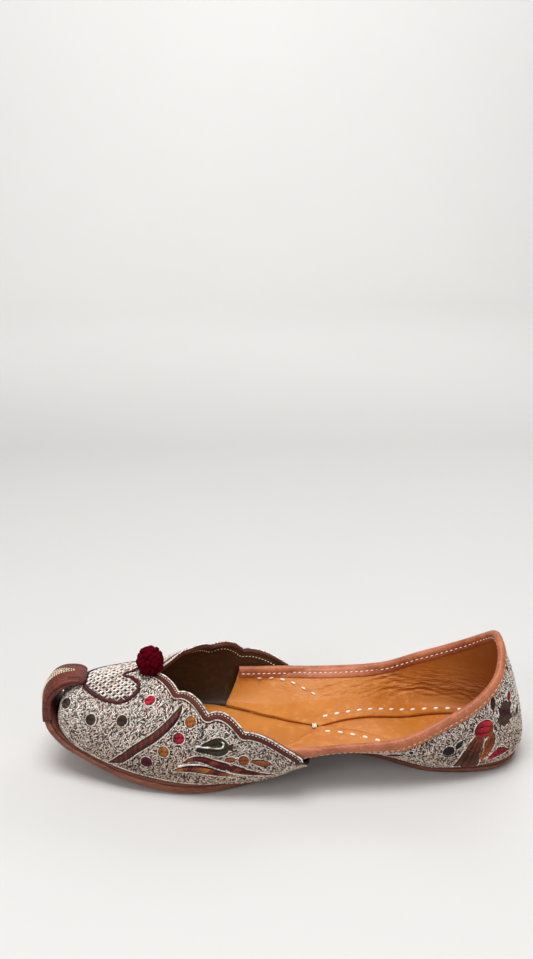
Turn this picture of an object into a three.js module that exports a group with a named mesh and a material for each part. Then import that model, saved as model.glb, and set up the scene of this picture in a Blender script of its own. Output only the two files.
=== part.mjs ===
// A mojari slip-on shoe in leather: a straight last (either foot), a waisted sole that turns up at the toe,
// a scalloped embroidered vamp, a heel quarter with a rolled collar, a curled toe strip and a pompom.
// Millimetres. +X points to the toe, +Y to the wearer's left, +Z up. Z 0 is the floor.
import * as THREE from "three";
import { mergeVertices } from "three/addons/utils/BufferGeometryUtils.js";

// ---- Driving dimensions ----
const gap = 0.3; // between pieces that touch
const outsoleShare = 0.64; // of the sole's whole thickness, which the section table gives as stack
const insoleThick = 1.8;
const flapThick = 1.2;
const wallThick = 1.8; // vamp and quarter, outer leather and lining together
const archLift = 7.2; // of the sole's underside at the waist
const heelBack = -127;
const toeFront = 123;
const toeLift = 37.8; // of the sole's underside at its front end
const curlTop = 51;
const curlTip = { x: 99.8, z: 47.2, halfWidth: 7.8, thick: 3.4 };
// The toe strip's base, and the share of its length up to which it keeps the base's thickness.
const curlBase = { halfWidth: 15.2, fullThickShare: 0.45 };
const collarHeight = 7;
const pompom = { x: 67.5, z: 56.2, radius: 7.5 };
const soleEnd = 260.2; // along the sole line, where the toe strip takes over

// ---- The sole's side view: its underside from heel to toe ----
const soleLine = new THREE.Path()
  .moveTo(heelBack, 0)
  .lineTo(-78, 0)
  .bezierCurveTo(-60, 0, -54, archLift, -32, archLift)
  .bezierCurveTo(-12, archLift, -4, 0, 16, 0)
  .lineTo(50, 0)
  .bezierCurveTo(70, 0, 93, 8, 109, 15.5)
  .bezierCurveTo(117, 19.5, toeFront, 27, toeFront, toeLift);
const soleLength = soleLine.getLength();

// The toe strip's outer face carries the sole line on, up and back over the vamp.
const curlLine = new THREE.Path()
  .moveTo(toeFront, toeLift)
  .bezierCurveTo(toeFront, 43, 119, curlTop - 0.7, 111, curlTop)
  .bezierCurveTo(105, curlTop + 0.4, 100.6, curlTop - 0.4, curlTip.x, curlTip.z);
const curlLength = soleLength - soleEnd + curlLine.getLength();

// A point beside a side-view line: along it by a length, out to one side by y, and above it by height.
function beside(line, length, y, height) {
  const share = THREE.MathUtils.clamp(length / line.getLength(), 0, 1);
  const p = line.getPointAt(share);
  const t = line.getTangentAt(share);
  return new THREE.Vector3(p.x - t.y * height, y, p.y + t.x * height);
}

// ---- The last: a row for each section, from the heel's back round one side to the toe's front ----
// along, side: the feather line on the flat sole; margin: the sole's edge beyond it; stack: the sole's
// thickness; spine, crest: the section's top, in x and z; out, rise: how far the wall swells past the feather
// line and how high; bulge: how round it is below that; full: how square above; topline: the collar's height;
// lift: how far the vamp stands off the last.
const columns = [
  "along", "side", "margin", "stack", "spine", "crest", "out",
  "rise", "bulge", "full", "topline", "lift",
];
const sections = [
  [6, 0, 3.4, 5.8, -92, 89.9, 4, 8.2, 1, 1.45, 66.8, 2.9],
  [8.5, 10.4, 3.4, 5.8, -92, 89.9, 4, 8.2, 1, 1.5, 64.8, 2.9],
  [16.5, 18.1, 3.4, 5.8, -91, 89.9, 4.6, 9.2, 1, 1.7, 58.9, 2.9],
  [29, 21.4, 3.4, 5.8, -89, 87.9, 6.6, 11.2, 1, 2.2, 49.9, 2.9],
  [47, 20.9, 3.4, 5.8, -80, 83.8, 11.9, 14.3, 0.9, 2.8, 39.8, 2.9],
  [73, 16.1, 3.6, 5.6, -54, 73.6, 20.4, 16.4, 0.6, 3, 31, 2.9],
  [99, 12.8, 4, 5.4, -28.5, 63.4, 25.2, 15.3, 0.4, 3, 28.4, 3.5],
  [123, 16.1, 4.2, 5.6, -4.5, 58.3, 22.8, 15.3, 0.4, 3, 28.4, 3.5],
  [146, 26.1, 4.4, 6.8, 18.5, 55.2, 11.9, 13.3, 0.7, 3, 29, 3.3],
  [169, 33.2, 4, 7.8, 41, 51.1, 4.6, 11.2, 1, 2.7, 29.6, 1.6],
  [191, 31.7, 3.6, 7.8, 62.5, 47, 3.6, 10.2, 1, 2.4, 29.6, 0.4],
  [211, 27.4, 3.4, 7, 82, 45.6, 3, 8.2, 1, 2.3, 29.6, 0.2],
  [229, 21.5, 3.2, 6.4, 95, 44.6, 2.3, 6.1, 1, 2.2, 29.6, 0.2],
  [247, 14.8, 3.6, 6, 101, 43.7, -0.6, 4.1, 1, 2.1, 29.6, 0.2],
  [254, 9, 8, 6, 102.6, 43.5, -2.8, 3.6, 0.5, 2, 29.6, 0.2],
  [256, 0, 9, 6, 103, 43.5, -4.8, 3.6, 0.4, 2, 29.6, 0.2],
].map((row) => Object.fromEntries(row.map((value, k) => [columns[k], value])));
const toeSection = sections.length - 1;
const swellShare = 0.3; // the share of a section's run, from feather line to crest, that lies below its swell
const soleLines = 54; // rows of a sole layer from heel to toe
const wallLines = 42; // rows of quarter and collar on each side

// The same column of the section table between two rows, on a smooth curve. The table is its own mirror image
// past the heel and the toe, so side changes sign there.
function column(name, u) {
  const i = Math.min(Math.floor(u), toeSection - 1);
  const value = (k) => {
    const row = sections[k < 0 ? -k : k > toeSection ? 2 * toeSection - k : k];
    return (k < 0 || k > toeSection) && name === "side" ? -row[name] : row[name];
  };
  const [a, b, c, d] = [value(i - 1), value(i), value(i + 1), value(i + 2)];
  const t = u - i;
  return b + 0.5 * t * (c - a + t * (2 * a - 5 * b + 4 * c - d + t * (3 * (b - c) + d - a)));
}

// A point of the last's surface: u is the section, v goes from 0 at the feather line to 1 at the crest.
function lastPoint(u, v) {
  const foot = beside(soleLine, column("along", u), column("side", u), column("stack", u));
  const spine = column("spine", u);
  const away = new THREE.Vector2(foot.x - spine, foot.y);
  const reach = away.length();
  away.normalize();
  const swellReach = reach + column("out", u);
  const swellHeight = foot.z + column("rise", u);
  let r, z;
  if (v < swellShare) {
    const t = v / swellShare;
    const bulge = column("bulge", u);
    r = reach + (swellReach - reach) * t * (1 + bulge * (1 - t));
    z = foot.z + (swellHeight - foot.z) * t * (1 - 0.65 * bulge * (1 - t));
  } else {
    const turn = (((v - swellShare) / (1 - swellShare)) * Math.PI) / 2;
    const full = column("full", u);
    const squared = Math.pow(Math.cos(turn) ** full + Math.sin(turn) ** full, 1 / full);
    r = (swellReach * Math.max(Math.cos(turn), 0)) / squared;
    z = swellHeight + ((column("crest", u) - swellHeight) * Math.sin(turn)) / squared;
  }
  return new THREE.Vector3(spine + away.x * r, away.y * r, z);
}

// The last's surface pushed outwards. At the feather line it is pushed along the sole, so the wall's foot is
// flat.
function lastOffset(u, v, offset) {
  const step = 1e-3;
  const p = lastPoint(u, v);
  const alongU = lastPoint(Math.min(u + step, toeSection), v).sub(lastPoint(Math.max(u - step, 0), v));
  const alongV = lastPoint(u, Math.min(v + step, 1)).sub(lastPoint(u, Math.max(v - step, 0)));
  const normal = alongV.cross(alongU).normalize();
  const along = column("along", u);
  const up = beside(soleLine, along, 0, 1).sub(beside(soleLine, along, 0, 0));
  const level = normal.clone().addScaledVector(up, -normal.dot(up)).normalize();
  normal.lerp(level, Math.max(0, 1 - v / 0.12)).normalize();
  const moved = p.addScaledVector(normal, offset);
  if (u <= 0 || u >= toeSection || v >= 1) moved.y = 0; // stays on the mirror plane
  return moved;
}

// The section's run value v at which the last reaches a height, or at which it lies a length below another v.
function runAtHeight(u, height) {
  let low = 0, high = 1;
  for (let i = 0; i < 30; i++) {
    const middle = (low + high) / 2;
    if (lastPoint(u, middle).z < height) low = middle;
    else high = middle;
  }
  return low;
}
function runBelow(u, from, length) {
  const step = 0.01;
  let v = from, left = length;
  let p = lastPoint(u, v);
  while (v > 0) {
    const q = lastPoint(u, Math.max(v - step, 0));
    const moved = p.distanceTo(q);
    if (moved >= left) return Math.max(v - (step * left) / moved, 0);
    left -= moved;
    v -= step;
    p = q;
  }
  return 0;
}

// ---- Mesh helpers ----
const spread = (count, make) => Array.from({ length: count + 1 }, (_, i) => make(i / count, i));

// Triangles of a grid of points, rows[i][j]. turned swaps the side that they face.
function gridTriangles(rows, turned = false) {
  const made = [];
  for (let i = 0; i + 1 < rows.length; i++)
    for (let j = 0; j + 1 < rows[i].length; j++) {
      const [a, b, c, d] = [rows[i][j], rows[i + 1][j], rows[i + 1][j + 1], rows[i][j + 1]];
      made.push(...(turned ? [[a, c, b], [a, d, c]] : [[a, b, c], [a, c, d]]));
    }
  return made;
}

// One closed geometry from loose triangles of one half and their mirror images in the plane y = 0.
function geometryOf(triangles, mirrored = true) {
  const positions = [];
  for (const [a, b, c] of triangles) {
    for (const p of [a, b, c]) positions.push(p.x, p.y, p.z);
    if (mirrored) for (const p of [a, c, b]) positions.push(p.x, p.y === 0 ? 0 : -p.y, p.z);
  }
  const loose = new THREE.BufferGeometry();
  loose.setAttribute("position", new THREE.Float32BufferAttribute(positions, 3));
  const merged = mergeVertices(loose, 1e-3);
  const kept = [];
  for (let i = 0; i < merged.index.count; i += 3) {
    const [a, b, c] = [0, 1, 2].map((k) => merged.index.getX(i + k));
    if (a !== b && b !== c && c !== a) kept.push(a, b, c);
  }
  merged.setIndex(kept);
  merged.computeVertexNormals();
  return merged;
}

// A flat end on a ring of points, as a fan from its first point.
function fanTriangles(ring, turned = false) {
  const made = [];
  for (let k = 1; k + 1 < ring.length; k++)
    made.push(turned ? [ring[0], ring[k + 1], ring[k]] : [ring[0], ring[k], ring[k + 1]]);
  return made;
}

// Half of a closed band: its rings start on the mirror plane, where they stay open. The last one is capped.
function bandTriangles(rings) {
  const made = gridTriangles(rings.map((ring) => [...ring, ring[0]]));
  return [...made, ...fanTriangles(rings[rings.length - 1], true)];
}

// A wall between two skins of the same grid, closed along its foot. Its top is closed as far as row topEnd.
function wallTriangles(outer, inner, topEnd) {
  const across = outer[0].length - 1;
  const rim = (j, end) => outer.slice(0, end).map((row, i) => [row[j], inner[i][j]]);
  return [
    ...gridTriangles(outer, true),
    ...gridTriangles(inner),
    ...gridTriangles(rim(0, outer.length)),
    ...gridTriangles(rim(across, topEnd + 1), true),
  ];
}

// The end of such a wall, between the same row of its two skins.
function wallEnd(outerRow, innerRow, turned = false) {
  return gridTriangles(outerRow.map((p, j) => [p, innerRow[j]]), turned);
}

// ---- Sole, midsole and insole: flat patterns bent along the sole line ----
// The pattern's edge at section u, moved in or out from the feather line.
function patternEdge(u, move) {
  const step = 0.01;
  const at = (w) => new THREE.Vector2(column("along", w), column("side", w));
  const back = at(Math.max(u - step, 0));
  const ahead = at(Math.min(u + step, toeSection));
  const side = new THREE.Vector2(-(ahead.y - back.y), ahead.x - back.x).normalize();
  if (u <= 0) side.set(-1, 0);
  if (u >= toeSection) side.set(1, 0);
  const p = at(u).addScaledVector(side, move);
  if (u <= 0 || u >= toeSection) p.y = 0;
  p.x = Math.min(p.x, soleEnd);
  return p;
}

// A slab whose edge is a short list of steps from its underside up to its top: each stands at a share of the
// sole's thickness, plus some, and that far beyond the pattern. Its rows run straight across the shoe.
function slab(edge, marginShare) {
  const rows = spread(soleLines, (share) => {
    const u = share * toeSection;
    const stack = column("stack", u);
    const ring = edge.map((step) => {
      const p = patternEdge(u, step.beyond + marginShare * column("margin", u));
      return beside(soleLine, p.x, p.y, step.share * stack + step.plus);
    });
    const middle = (k) => new THREE.Vector3(ring[k].x, 0, ring[k].z);
    return [middle(0), ...ring, middle(ring.length - 1)];
  });
  return geometryOf(gridTriangles(rows, true));
}

function makeOutsole() {
  const edge = [
    { share: 0, plus: 0, beyond: -3.4 },
    { share: 0, plus: 0.8, beyond: -1.2 },
    { share: 0, plus: 2, beyond: -0.2 },
    { share: outsoleShare, plus: 0, beyond: 0 },
  ];
  return slab(edge, 1);
}

function makeMidsole() {
  const edge = [
    { share: outsoleShare, plus: gap, beyond: -0.7 },
    { share: 1, plus: -gap - 0.6, beyond: -0.7 },
    { share: 1, plus: -gap, beyond: -1.4 },
  ];
  return slab(edge, 1);
}

function makeInsole() {
  const edge = [
    { share: 1, plus: 0, beyond: -0.6 },
    { share: 1, plus: insoleThick, beyond: -0.6 },
  ];
  return slab(edge, 0);
}

// ---- Turned lining: the quarter's lower edge, folded in over the insole ----
// Its free edge on the flat sole, in (along, side): a teardrop open from the heel to the centre stitch, where
// both sides meet, and from there a V that opens to the front corner of the quarter.
const stitchAlong = 106.5;
const turnedFront = { along: 142.5, side: 26, section: 7.88 };
const stitchSection = 6.3;
const teardrop = new THREE.SplineCurve([
  new THREE.Vector2(14, 0),
  new THREE.Vector2(14.2, 9.6),
  new THREE.Vector2(20.8, 17),
  new THREE.Vector2(32.5, 19.4),
  new THREE.Vector2(52, 17.7),
  new THREE.Vector2(79, 10.9),
  new THREE.Vector2(stitchAlong, gap / 2),
]);

function turnedEdge(u) {
  if (u <= stitchSection) return teardrop.getPoint(u / stitchSection);
  const t = (u - stitchSection) / (turnedFront.section - stitchSection);
  const front = new THREE.Vector2(turnedFront.along, turnedFront.side);
  return new THREE.Vector2(stitchAlong, gap / 2).lerp(front, t);
}

function makeTurnedLining() {
  const rings = spread(44, (share) => {
    const u = share * turnedFront.section;
    const low = column("stack", u) + insoleThick + gap;
    const free = turnedEdge(u);
    const outer = patternEdge(u, -0.7);
    free.y = Math.min(free.y, Math.max(outer.y - 0.8, 0));
    const corners = [[free, low], [free, low + flapThick], [outer, low + flapThick], [outer, low]];
    return corners.map(([p, height]) => beside(soleLine, p.x, share === 0 ? 0 : p.y, height));
  });
  return geometryOf(bandTriangles(rings));
}

// ---- Vamp ----
// The topline's notches: u and v on the last, and how far the lobe before each stands out.
const notches = [
  { u: 6.62, v: 0.04, lobe: 0 },
  { u: 6.78, v: 0.3, lobe: 0 },
  { u: 8.09, v: 0.51, lobe: 0.048 },
  { u: 8.82, v: 0.612, lobe: 0.042 },
  { u: 9.48, v: 0.762, lobe: 0.038 },
  { u: 10.18, v: 1, lobe: 0.035 },
];

function vampTop(u) {
  const k = notches.findIndex((notch) => u <= notch.u + 1e-9);
  if (k < 0) return 1;
  if (k === 0) return notches[0].v;
  const [a, b] = [notches[k - 1], notches[k]];
  const t = (u - a.u) / (b.u - a.u);
  return Math.min(1, a.v + (b.v - a.v) * t + b.lobe * Math.sin(Math.PI * t) ** 0.8);
}

function makeVamp() {
  const stops = notches.map((notch) => notch.u);
  const steps = [2, 7, 6, 6, 6]; // rows between one notch and the next
  const between = (k, t) => THREE.MathUtils.lerp(stops[k], stops[k + 1], t);
  const lines = steps.flatMap((count, k) => spread(count, (t) => between(k, t)).slice(0, -1));
  const throat = stops[stops.length - 1];
  lines.push(...spread(16, (t) => THREE.MathUtils.lerp(throat, toeSection, t)));
  const across = 10;
  const skin = (offset) =>
    lines.map((u) => spread(across, (t) => lastOffset(u, t * vampTop(u), column("lift", u) + offset)));
  const outer = skin(wallThick);
  const inner = skin(0);
  const open = lines.findIndex((u) => u >= throat - 1e-9);
  return geometryOf([...wallTriangles(outer, inner, open), ...wallEnd(outer[0], inner[0], true)]);
}

// ---- Quarter and its rolled collar ----
const quarterFront = { foot: 8.5, top: 8.2 };

function makeQuarter() {
  const across = 6;
  const skin = (offset) =>
    spread(wallLines, (share) =>
      spread(across, (t) => {
        const topU = share * quarterFront.top;
        const u = THREE.MathUtils.lerp(share * quarterFront.foot, topU, t);
        const top = runBelow(topU, runAtHeight(topU, column("topline", topU)), collarHeight);
        return lastOffset(u, t * top, offset);
      }),
    );
  const outer = skin(wallThick);
  const inner = skin(0);
  return geometryOf([
    ...wallTriangles(outer, inner, wallLines),
    ...wallEnd(outer[wallLines], inner[wallLines]),
  ]);
}

function makeCollar() {
  const profile = [
    { down: collarHeight - gap, out: -0.6 },
    { down: 2, out: -0.7 },
    { down: 0.6, out: -0.3 },
    { down: 0, out: 0.5 },
    { down: 0, out: 1.3 },
    { down: 0.6, out: 2.1 },
    { down: 2, out: 2.5 },
    { down: collarHeight - gap, out: 2.4 },
  ];
  const rings = spread(wallLines, (share) => {
    const u = share * quarterFront.top;
    const top = runAtHeight(u, column("topline", u));
    return profile.map(({ down, out }) => lastOffset(u, down ? runBelow(u, top, down) : top, out));
  });
  return geometryOf(bandTriangles(rings));
}

// ---- Toe curl: the strip that rises from the sole's front and rolls back over the vamp ----
function makeToeCurl() {
  const baseThick = column("stack", toeSection) - gap;
  const crownIn = 0.8; // how far the strip's edges are rounded off, across it and through it
  const crownDown = 0.6;
  const sharedLength = soleLength - soleEnd;
  const rings = spread(22, (share) => {
    const along = gap + (curlLength - gap) * share;
    const half = THREE.MathUtils.lerp(curlBase.halfWidth, curlTip.halfWidth, share ** 0.9);
    const taper = THREE.MathUtils.smoothstep(share, curlBase.fullThickShare, 1);
    const thick = THREE.MathUtils.lerp(baseThick, curlTip.thick, taper);
    const at = (y, h) => (along < sharedLength
      ? beside(soleLine, soleEnd + along, y, h)
      : beside(curlLine, along - sharedLength, y, h));
    return [
      at(0, 0),
      at(half - crownIn, 0),
      at(half, crownDown),
      at(half, thick - crownDown),
      at(half - crownIn, thick),
      at(0, thick),
    ];
  });
  return geometryOf([
    ...gridTriangles(rings, true),
    ...fanTriangles(rings[0], true),
    ...fanTriangles(rings[rings.length - 1]),
  ]);
}

// ---- Assembly ----
const leather = (color, roughness) => new THREE.MeshStandardMaterial({ color, roughness, metalness: 0 });
const finishes = {
  soleLeather: leather(0x6b3524, 0.55),
  weltLeather: leather(0x4f2318, 0.5),
  tanLeather: leather(0xb9722f, 0.5),
  collarLeather: leather(0xa85a32, 0.45),
  vampCloth: new THREE.MeshStandardMaterial({ color: 0xb9aa98, roughness: 0.4, metalness: 0.5 }),
  curlLeather: leather(0x5c231a, 0.45),
  wool: leather(0x6e0a22, 0.95),
};

const model = new THREE.Group();
function add(name, geometry, material) {
  const mesh = new THREE.Mesh(geometry, material);
  mesh.name = name;
  model.add(mesh);
  return mesh;
}

add("outsole", makeOutsole(), finishes.soleLeather);
add("midsole", makeMidsole(), finishes.weltLeather);
add("insole", makeInsole(), finishes.tanLeather);
add("turned_lining", makeTurnedLining(), finishes.tanLeather);
add("quarter", makeQuarter(), finishes.vampCloth);
add("collar_binding", makeCollar(), finishes.collarLeather);
add("vamp", makeVamp(), finishes.vampCloth);
add("toe_curl", makeToeCurl(), finishes.curlLeather);
const ball = add("pompom", mergedSphere(pompom.radius), finishes.wool);
ball.position.set(pompom.x, 0, pompom.z);

function mergedSphere(radius) {
  const sphere = new THREE.IcosahedronGeometry(radius, 3);
  sphere.deleteAttribute("normal");
  sphere.deleteAttribute("uv");
  return mergeVertices(sphere, 1e-3);
}

// The origin is the middle of the whole shoe's length, on the floor.
const extent = new THREE.Box3().setFromObject(model);
model.position.x = -(extent.min.x + extent.max.x) / 2;

export default model;
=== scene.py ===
# The looks of a mojari slip-on shoe, built round its fixed frame: leather sole, lining and collar, an
# embroidered vamp and quarter worked in thousands of real stitches, a curled toe strip and a wool pompom.
import math
import bpy
import bmesh
import numpy as np
from mathutils import Matrix, Vector


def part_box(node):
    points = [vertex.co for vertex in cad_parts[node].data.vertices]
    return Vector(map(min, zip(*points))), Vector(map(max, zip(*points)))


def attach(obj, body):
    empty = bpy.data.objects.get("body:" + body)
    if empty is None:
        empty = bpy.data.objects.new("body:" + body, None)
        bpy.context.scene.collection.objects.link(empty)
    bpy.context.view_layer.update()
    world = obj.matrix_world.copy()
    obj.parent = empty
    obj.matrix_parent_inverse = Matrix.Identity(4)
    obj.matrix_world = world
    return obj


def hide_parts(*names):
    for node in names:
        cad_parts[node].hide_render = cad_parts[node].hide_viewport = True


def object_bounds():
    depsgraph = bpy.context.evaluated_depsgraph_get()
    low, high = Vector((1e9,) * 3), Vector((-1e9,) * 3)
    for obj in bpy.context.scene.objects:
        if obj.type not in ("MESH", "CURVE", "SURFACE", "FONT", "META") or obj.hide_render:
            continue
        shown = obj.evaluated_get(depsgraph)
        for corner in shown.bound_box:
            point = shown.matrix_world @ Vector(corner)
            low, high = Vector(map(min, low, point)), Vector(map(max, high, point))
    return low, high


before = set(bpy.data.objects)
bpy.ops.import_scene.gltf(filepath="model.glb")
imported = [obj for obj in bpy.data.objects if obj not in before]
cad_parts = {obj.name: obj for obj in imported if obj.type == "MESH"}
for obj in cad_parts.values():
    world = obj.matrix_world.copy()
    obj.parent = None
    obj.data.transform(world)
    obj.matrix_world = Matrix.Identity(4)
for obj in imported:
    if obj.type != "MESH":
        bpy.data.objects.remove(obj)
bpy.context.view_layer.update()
mm = 0.001  # shapes are worked out in millimetres and put into their meshes in metres
random = np.random.default_rng(11)
print("frame loaded")

# the last, as the frame has it
lastShape = dict(heelBack=-127, archLift=7.2, toeFront=123, toeLift=37.8, curlTop=51, soleEnd=260.2,
                 swellShare=0.3, gap=0.3, outsoleShare=0.64, insoleThick=1.8, flapThick=1.2,
                 curlTip=dict(x=99.8, z=47.2, halfWidth=7.8, thick=3.4), curlBase=15.2, curlFull=0.45)
# the frame's origin is the middle of the shoe's length
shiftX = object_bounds()[1][0] / mm - lastShape["toeFront"]

# a row for each section from the heel's back (0) round one side to the toe's front (15)
sectionNames = ["along", "side", "margin", "stack", "spine", "crest", "out", "rise", "bulge", "full",
                "topline", "lift"]
sectionRows = np.array([
    [6, 0, 3.4, 5.8, -92, 89.9, 4, 8.2, 1, 1.45, 66.8, 2.9],
    [8.5, 10.4, 3.4, 5.8, -92, 89.9, 4, 8.2, 1, 1.5, 64.8, 2.9],
    [16.5, 18.1, 3.4, 5.8, -91, 89.9, 4.6, 9.2, 1, 1.7, 58.9, 2.9],
    [29, 21.4, 3.4, 5.8, -89, 87.9, 6.6, 11.2, 1, 2.2, 49.9, 2.9],
    [47, 20.9, 3.4, 5.8, -80, 83.8, 11.9, 14.3, 0.9, 2.8, 39.8, 2.9],
    [73, 16.1, 3.6, 5.6, -54, 73.6, 20.4, 16.4, 0.6, 3, 31, 2.9],
    [99, 12.8, 4, 5.4, -28.5, 63.4, 25.2, 15.3, 0.4, 3, 28.4, 3.5],
    [123, 16.1, 4.2, 5.6, -4.5, 58.3, 22.8, 15.3, 0.4, 3, 28.4, 3.5],
    [146, 26.1, 4.4, 6.8, 18.5, 55.2, 11.9, 13.3, 0.7, 3, 29, 3.3],
    [169, 33.2, 4, 7.8, 41, 51.1, 4.6, 11.2, 1, 2.7, 29.6, 1.6],
    [191, 31.7, 3.6, 7.8, 62.5, 47, 3.6, 10.2, 1, 2.4, 29.6, 0.4],
    [211, 27.4, 3.4, 7, 82, 45.6, 3, 8.2, 1, 2.3, 29.6, 0.2],
    [229, 21.5, 3.2, 6.4, 95, 44.6, 2.3, 6.1, 1, 2.2, 29.6, 0.2],
    [247, 14.8, 3.6, 6, 101, 43.7, -0.6, 4.1, 1, 2.1, 29.6, 0.2],
    [254, 9, 8, 6, 102.6, 43.5, -2.8, 3.6, 0.5, 2, 29.6, 0.2],
    [256, 0, 9, 6, 103, 43.5, -4.8, 3.6, 0.4, 2, 29.6, 0.2],
])
toeSection = len(sectionRows) - 1
wholeRound = 2 * toeSection  # w runs round the whole shoe: 0 heel, 15 toe on the +Y side, 30 the heel again


def bezierRun(a, b, c, d):  # (1-t)^3 a + 3 (1-t)^2 t b + 3 (1-t) t^2 c + t^3 d
    t = np.linspace(0, 1, 300)[:, None]
    a, b, c, d = (np.array(p, float) for p in (a, b, c, d))
    return (1 - t) ** 3 * a + 3 * (1 - t) ** 2 * t * b + 3 * (1 - t) * t ** 2 * c + t ** 3 * d


def sideLine(*runs):  # runs of side-view points (x, z), joined, with the way along them and their tangents
    p = np.concatenate([run if k == 0 else run[1:] for k, run in enumerate(runs)])
    s = np.concatenate([[0], np.cumsum(np.linalg.norm(np.diff(p, axis=0), axis=1))])
    tangent = np.gradient(p, s, axis=0)
    tangent /= np.linalg.norm(tangent, axis=1, keepdims=True)
    return dict(p=p, s=s, tangent=tangent)


lift, front, top = lastShape["archLift"], lastShape["toeFront"], lastShape["curlTop"]
toeLift, tip = lastShape["toeLift"], lastShape["curlTip"]
soleRuns = [
    np.linspace([lastShape["heelBack"], 0], [-78, 0], 60),
    bezierRun((-78, 0), (-60, 0), (-54, lift), (-32, lift)),
    bezierRun((-32, lift), (-12, lift), (-4, 0), (16, 0)),
    np.linspace([16, 0], [50, 0], 40),
    bezierRun((50, 0), (70, 0), (93, 8), (109, 15.5)),
    bezierRun((109, 15.5), (117, 19.5), (front, 27), (front, toeLift)),
]
curlRuns = [
    bezierRun((front, toeLift), (front, 43), (119, top - 0.7), (111, top)),
    bezierRun((111, top), (105, top + 0.4), (100.6, top - 0.4), (tip["x"], tip["z"])),
]
soleLine = sideLine(*soleRuns)
# the sole's underside, on up the toe strip's outer face to its tip
wholeLine = sideLine(*soleRuns, *curlRuns)


def beside(line, length, y, height):  # line(length) + normal * height, moved across by y
    columns = (*line["p"].T, *line["tangent"].T)
    x, z, tx, tz = (np.interp(length, line["s"], column) for column in columns)
    return np.stack(np.broadcast_arrays(x - tz * height + shiftX, y, z + tx * height), -1)


def section(name, u):
    # Catmull-Rom through the rows; the table mirrors past heel and toe, where side turns round
    k = sectionNames.index(name)
    u = np.clip(np.asarray(u, float), 0, toeSection)
    i = np.minimum(np.floor(u).astype(int), toeSection - 1)

    def value(j):
        row = np.where(j < 0, -j, np.where(j > toeSection, 2 * toeSection - j, j))
        turned = ((j < 0) | (j > toeSection)) & (name == "side")
        return np.where(turned, -sectionRows[row, k], sectionRows[row, k])
    a, b, c, d = value(i - 1), value(i), value(i + 1), value(i + 2)
    t = u - i
    return b + 0.5 * t * (c - a + t * (2 * a - 5 * b + 4 * c - d + t * (3 * (b - c) + d - a)))


def lastPoint(u, v):  # below the swell a quadratic bulge, above it a superellipse quarter up to the crest
    u, v = np.broadcast_arrays(np.asarray(u, float), np.asarray(v, float))
    foot = beside(soleLine, section("along", u), section("side", u), section("stack", u))
    spine = section("spine", u) + shiftX
    ax, ay = foot[..., 0] - spine, foot[..., 1]
    reach = np.hypot(ax, ay)
    swellReach, swellHeight = reach + section("out", u), foot[..., 2] + section("rise", u)
    bulge, full = section("bulge", u), section("full", u)
    t = v / lastShape["swellShare"]
    lowR = reach + (swellReach - reach) * t * (1 + bulge * (1 - t))
    lowZ = foot[..., 2] + (swellHeight - foot[..., 2]) * t * (1 - 0.65 * bulge * (1 - t))
    turn = np.clip((v - lastShape["swellShare"]) / (1 - lastShape["swellShare"]), 0, 1) * math.pi / 2
    squared = (np.cos(turn) ** full + np.sin(turn) ** full) ** (1 / full)
    highR = swellReach * np.cos(turn) / squared
    highZ = swellHeight + (section("crest", u) - swellHeight) * np.sin(turn) / squared
    low = v < lastShape["swellShare"]
    r, z = np.where(low, lowR, highR), np.where(low, lowZ, highZ)
    return np.stack([spine + ax / reach * r, ay / reach * r, z], -1)


def unit(vectors):  # each vector over its own length
    return vectors / np.maximum(np.linalg.norm(vectors, axis=-1, keepdims=True), 1e-12)


def lastOffset(u, v, offset):
    # lastPoint + normal * offset, the normal level with the sole at the feather line
    step = 1e-3
    u, v = np.broadcast_arrays(np.clip(u, 0, toeSection), np.clip(v, 0, 1))
    alongU = lastPoint(np.minimum(u + step, toeSection), v) - lastPoint(np.maximum(u - step, 0), v)
    alongV = lastPoint(u, np.minimum(v + step, 1)) - lastPoint(u, np.maximum(v - step, 0))
    normal = unit(np.cross(alongV, alongU))
    along = section("along", u)
    up = beside(soleLine, along, 0, 1) - beside(soleLine, along, 0, 0)
    level = unit(normal - up * np.sum(normal * up, -1, keepdims=True))
    blend = np.maximum(0, 1 - v / 0.12)[..., None]
    moved = lastPoint(u, v) + unit(normal * (1 - blend) + level * blend) * np.asarray(offset)[..., None]
    onMirror = (u <= 0) | (u >= toeSection) | (v >= 1)
    moved[..., 1] = np.where(onMirror, 0, moved[..., 1])
    return moved


def wall(w, v, offset, standOff=0):
    # round the whole shoe, either side; standOff 1 adds what the vamp stands off
    w = np.mod(w, wholeRound)
    u = np.where(w <= toeSection, w, wholeRound - w)
    p = lastOffset(u, v, offset + standOff * section("lift", u))
    p[..., 1] *= np.where(w <= toeSection, 1, -1)
    return p


def wallFrame(w, v, offset, standOff=0):
    # the point, its outward normal, and the unit ways along and down the wall
    step = 2e-3
    v = np.clip(v, step, 1 - step)
    p = wall(w, v, offset, standOff)
    alongW = wall(w + step, v, offset, standOff) - wall(w - step, v, offset, standOff)
    alongV = wall(w, v + step, offset, standOff) - wall(w, v - step, offset, standOff)
    normal = unit(np.cross(alongV, alongW))
    ahead = unit(alongW)
    return dict(p=p, normal=normal, ahead=ahead, down=np.cross(normal, ahead),
                alongW=alongW / (2 * step), alongV=alongV / (2 * step))


def moveOnWall(w, v, ahead, down, offset, standOff=0):
    # (w, v) moved by that many mm on the wall, to first order
    f = wallFrame(w, v, offset, standOff)
    a = np.sum(f["alongW"] * f["ahead"], -1)
    b = np.sum(f["alongV"] * f["ahead"], -1)
    c = np.sum(f["alongW"] * f["down"], -1)
    d = np.sum(f["alongV"] * f["down"], -1)
    det = a * d - b * c
    det = np.where(np.abs(det) < 1e-6, 1e-6, det)
    return w + (d * ahead - b * down) / det, np.clip(v + (a * down - c * ahead) / det, 0.002, 0.998)


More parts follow.
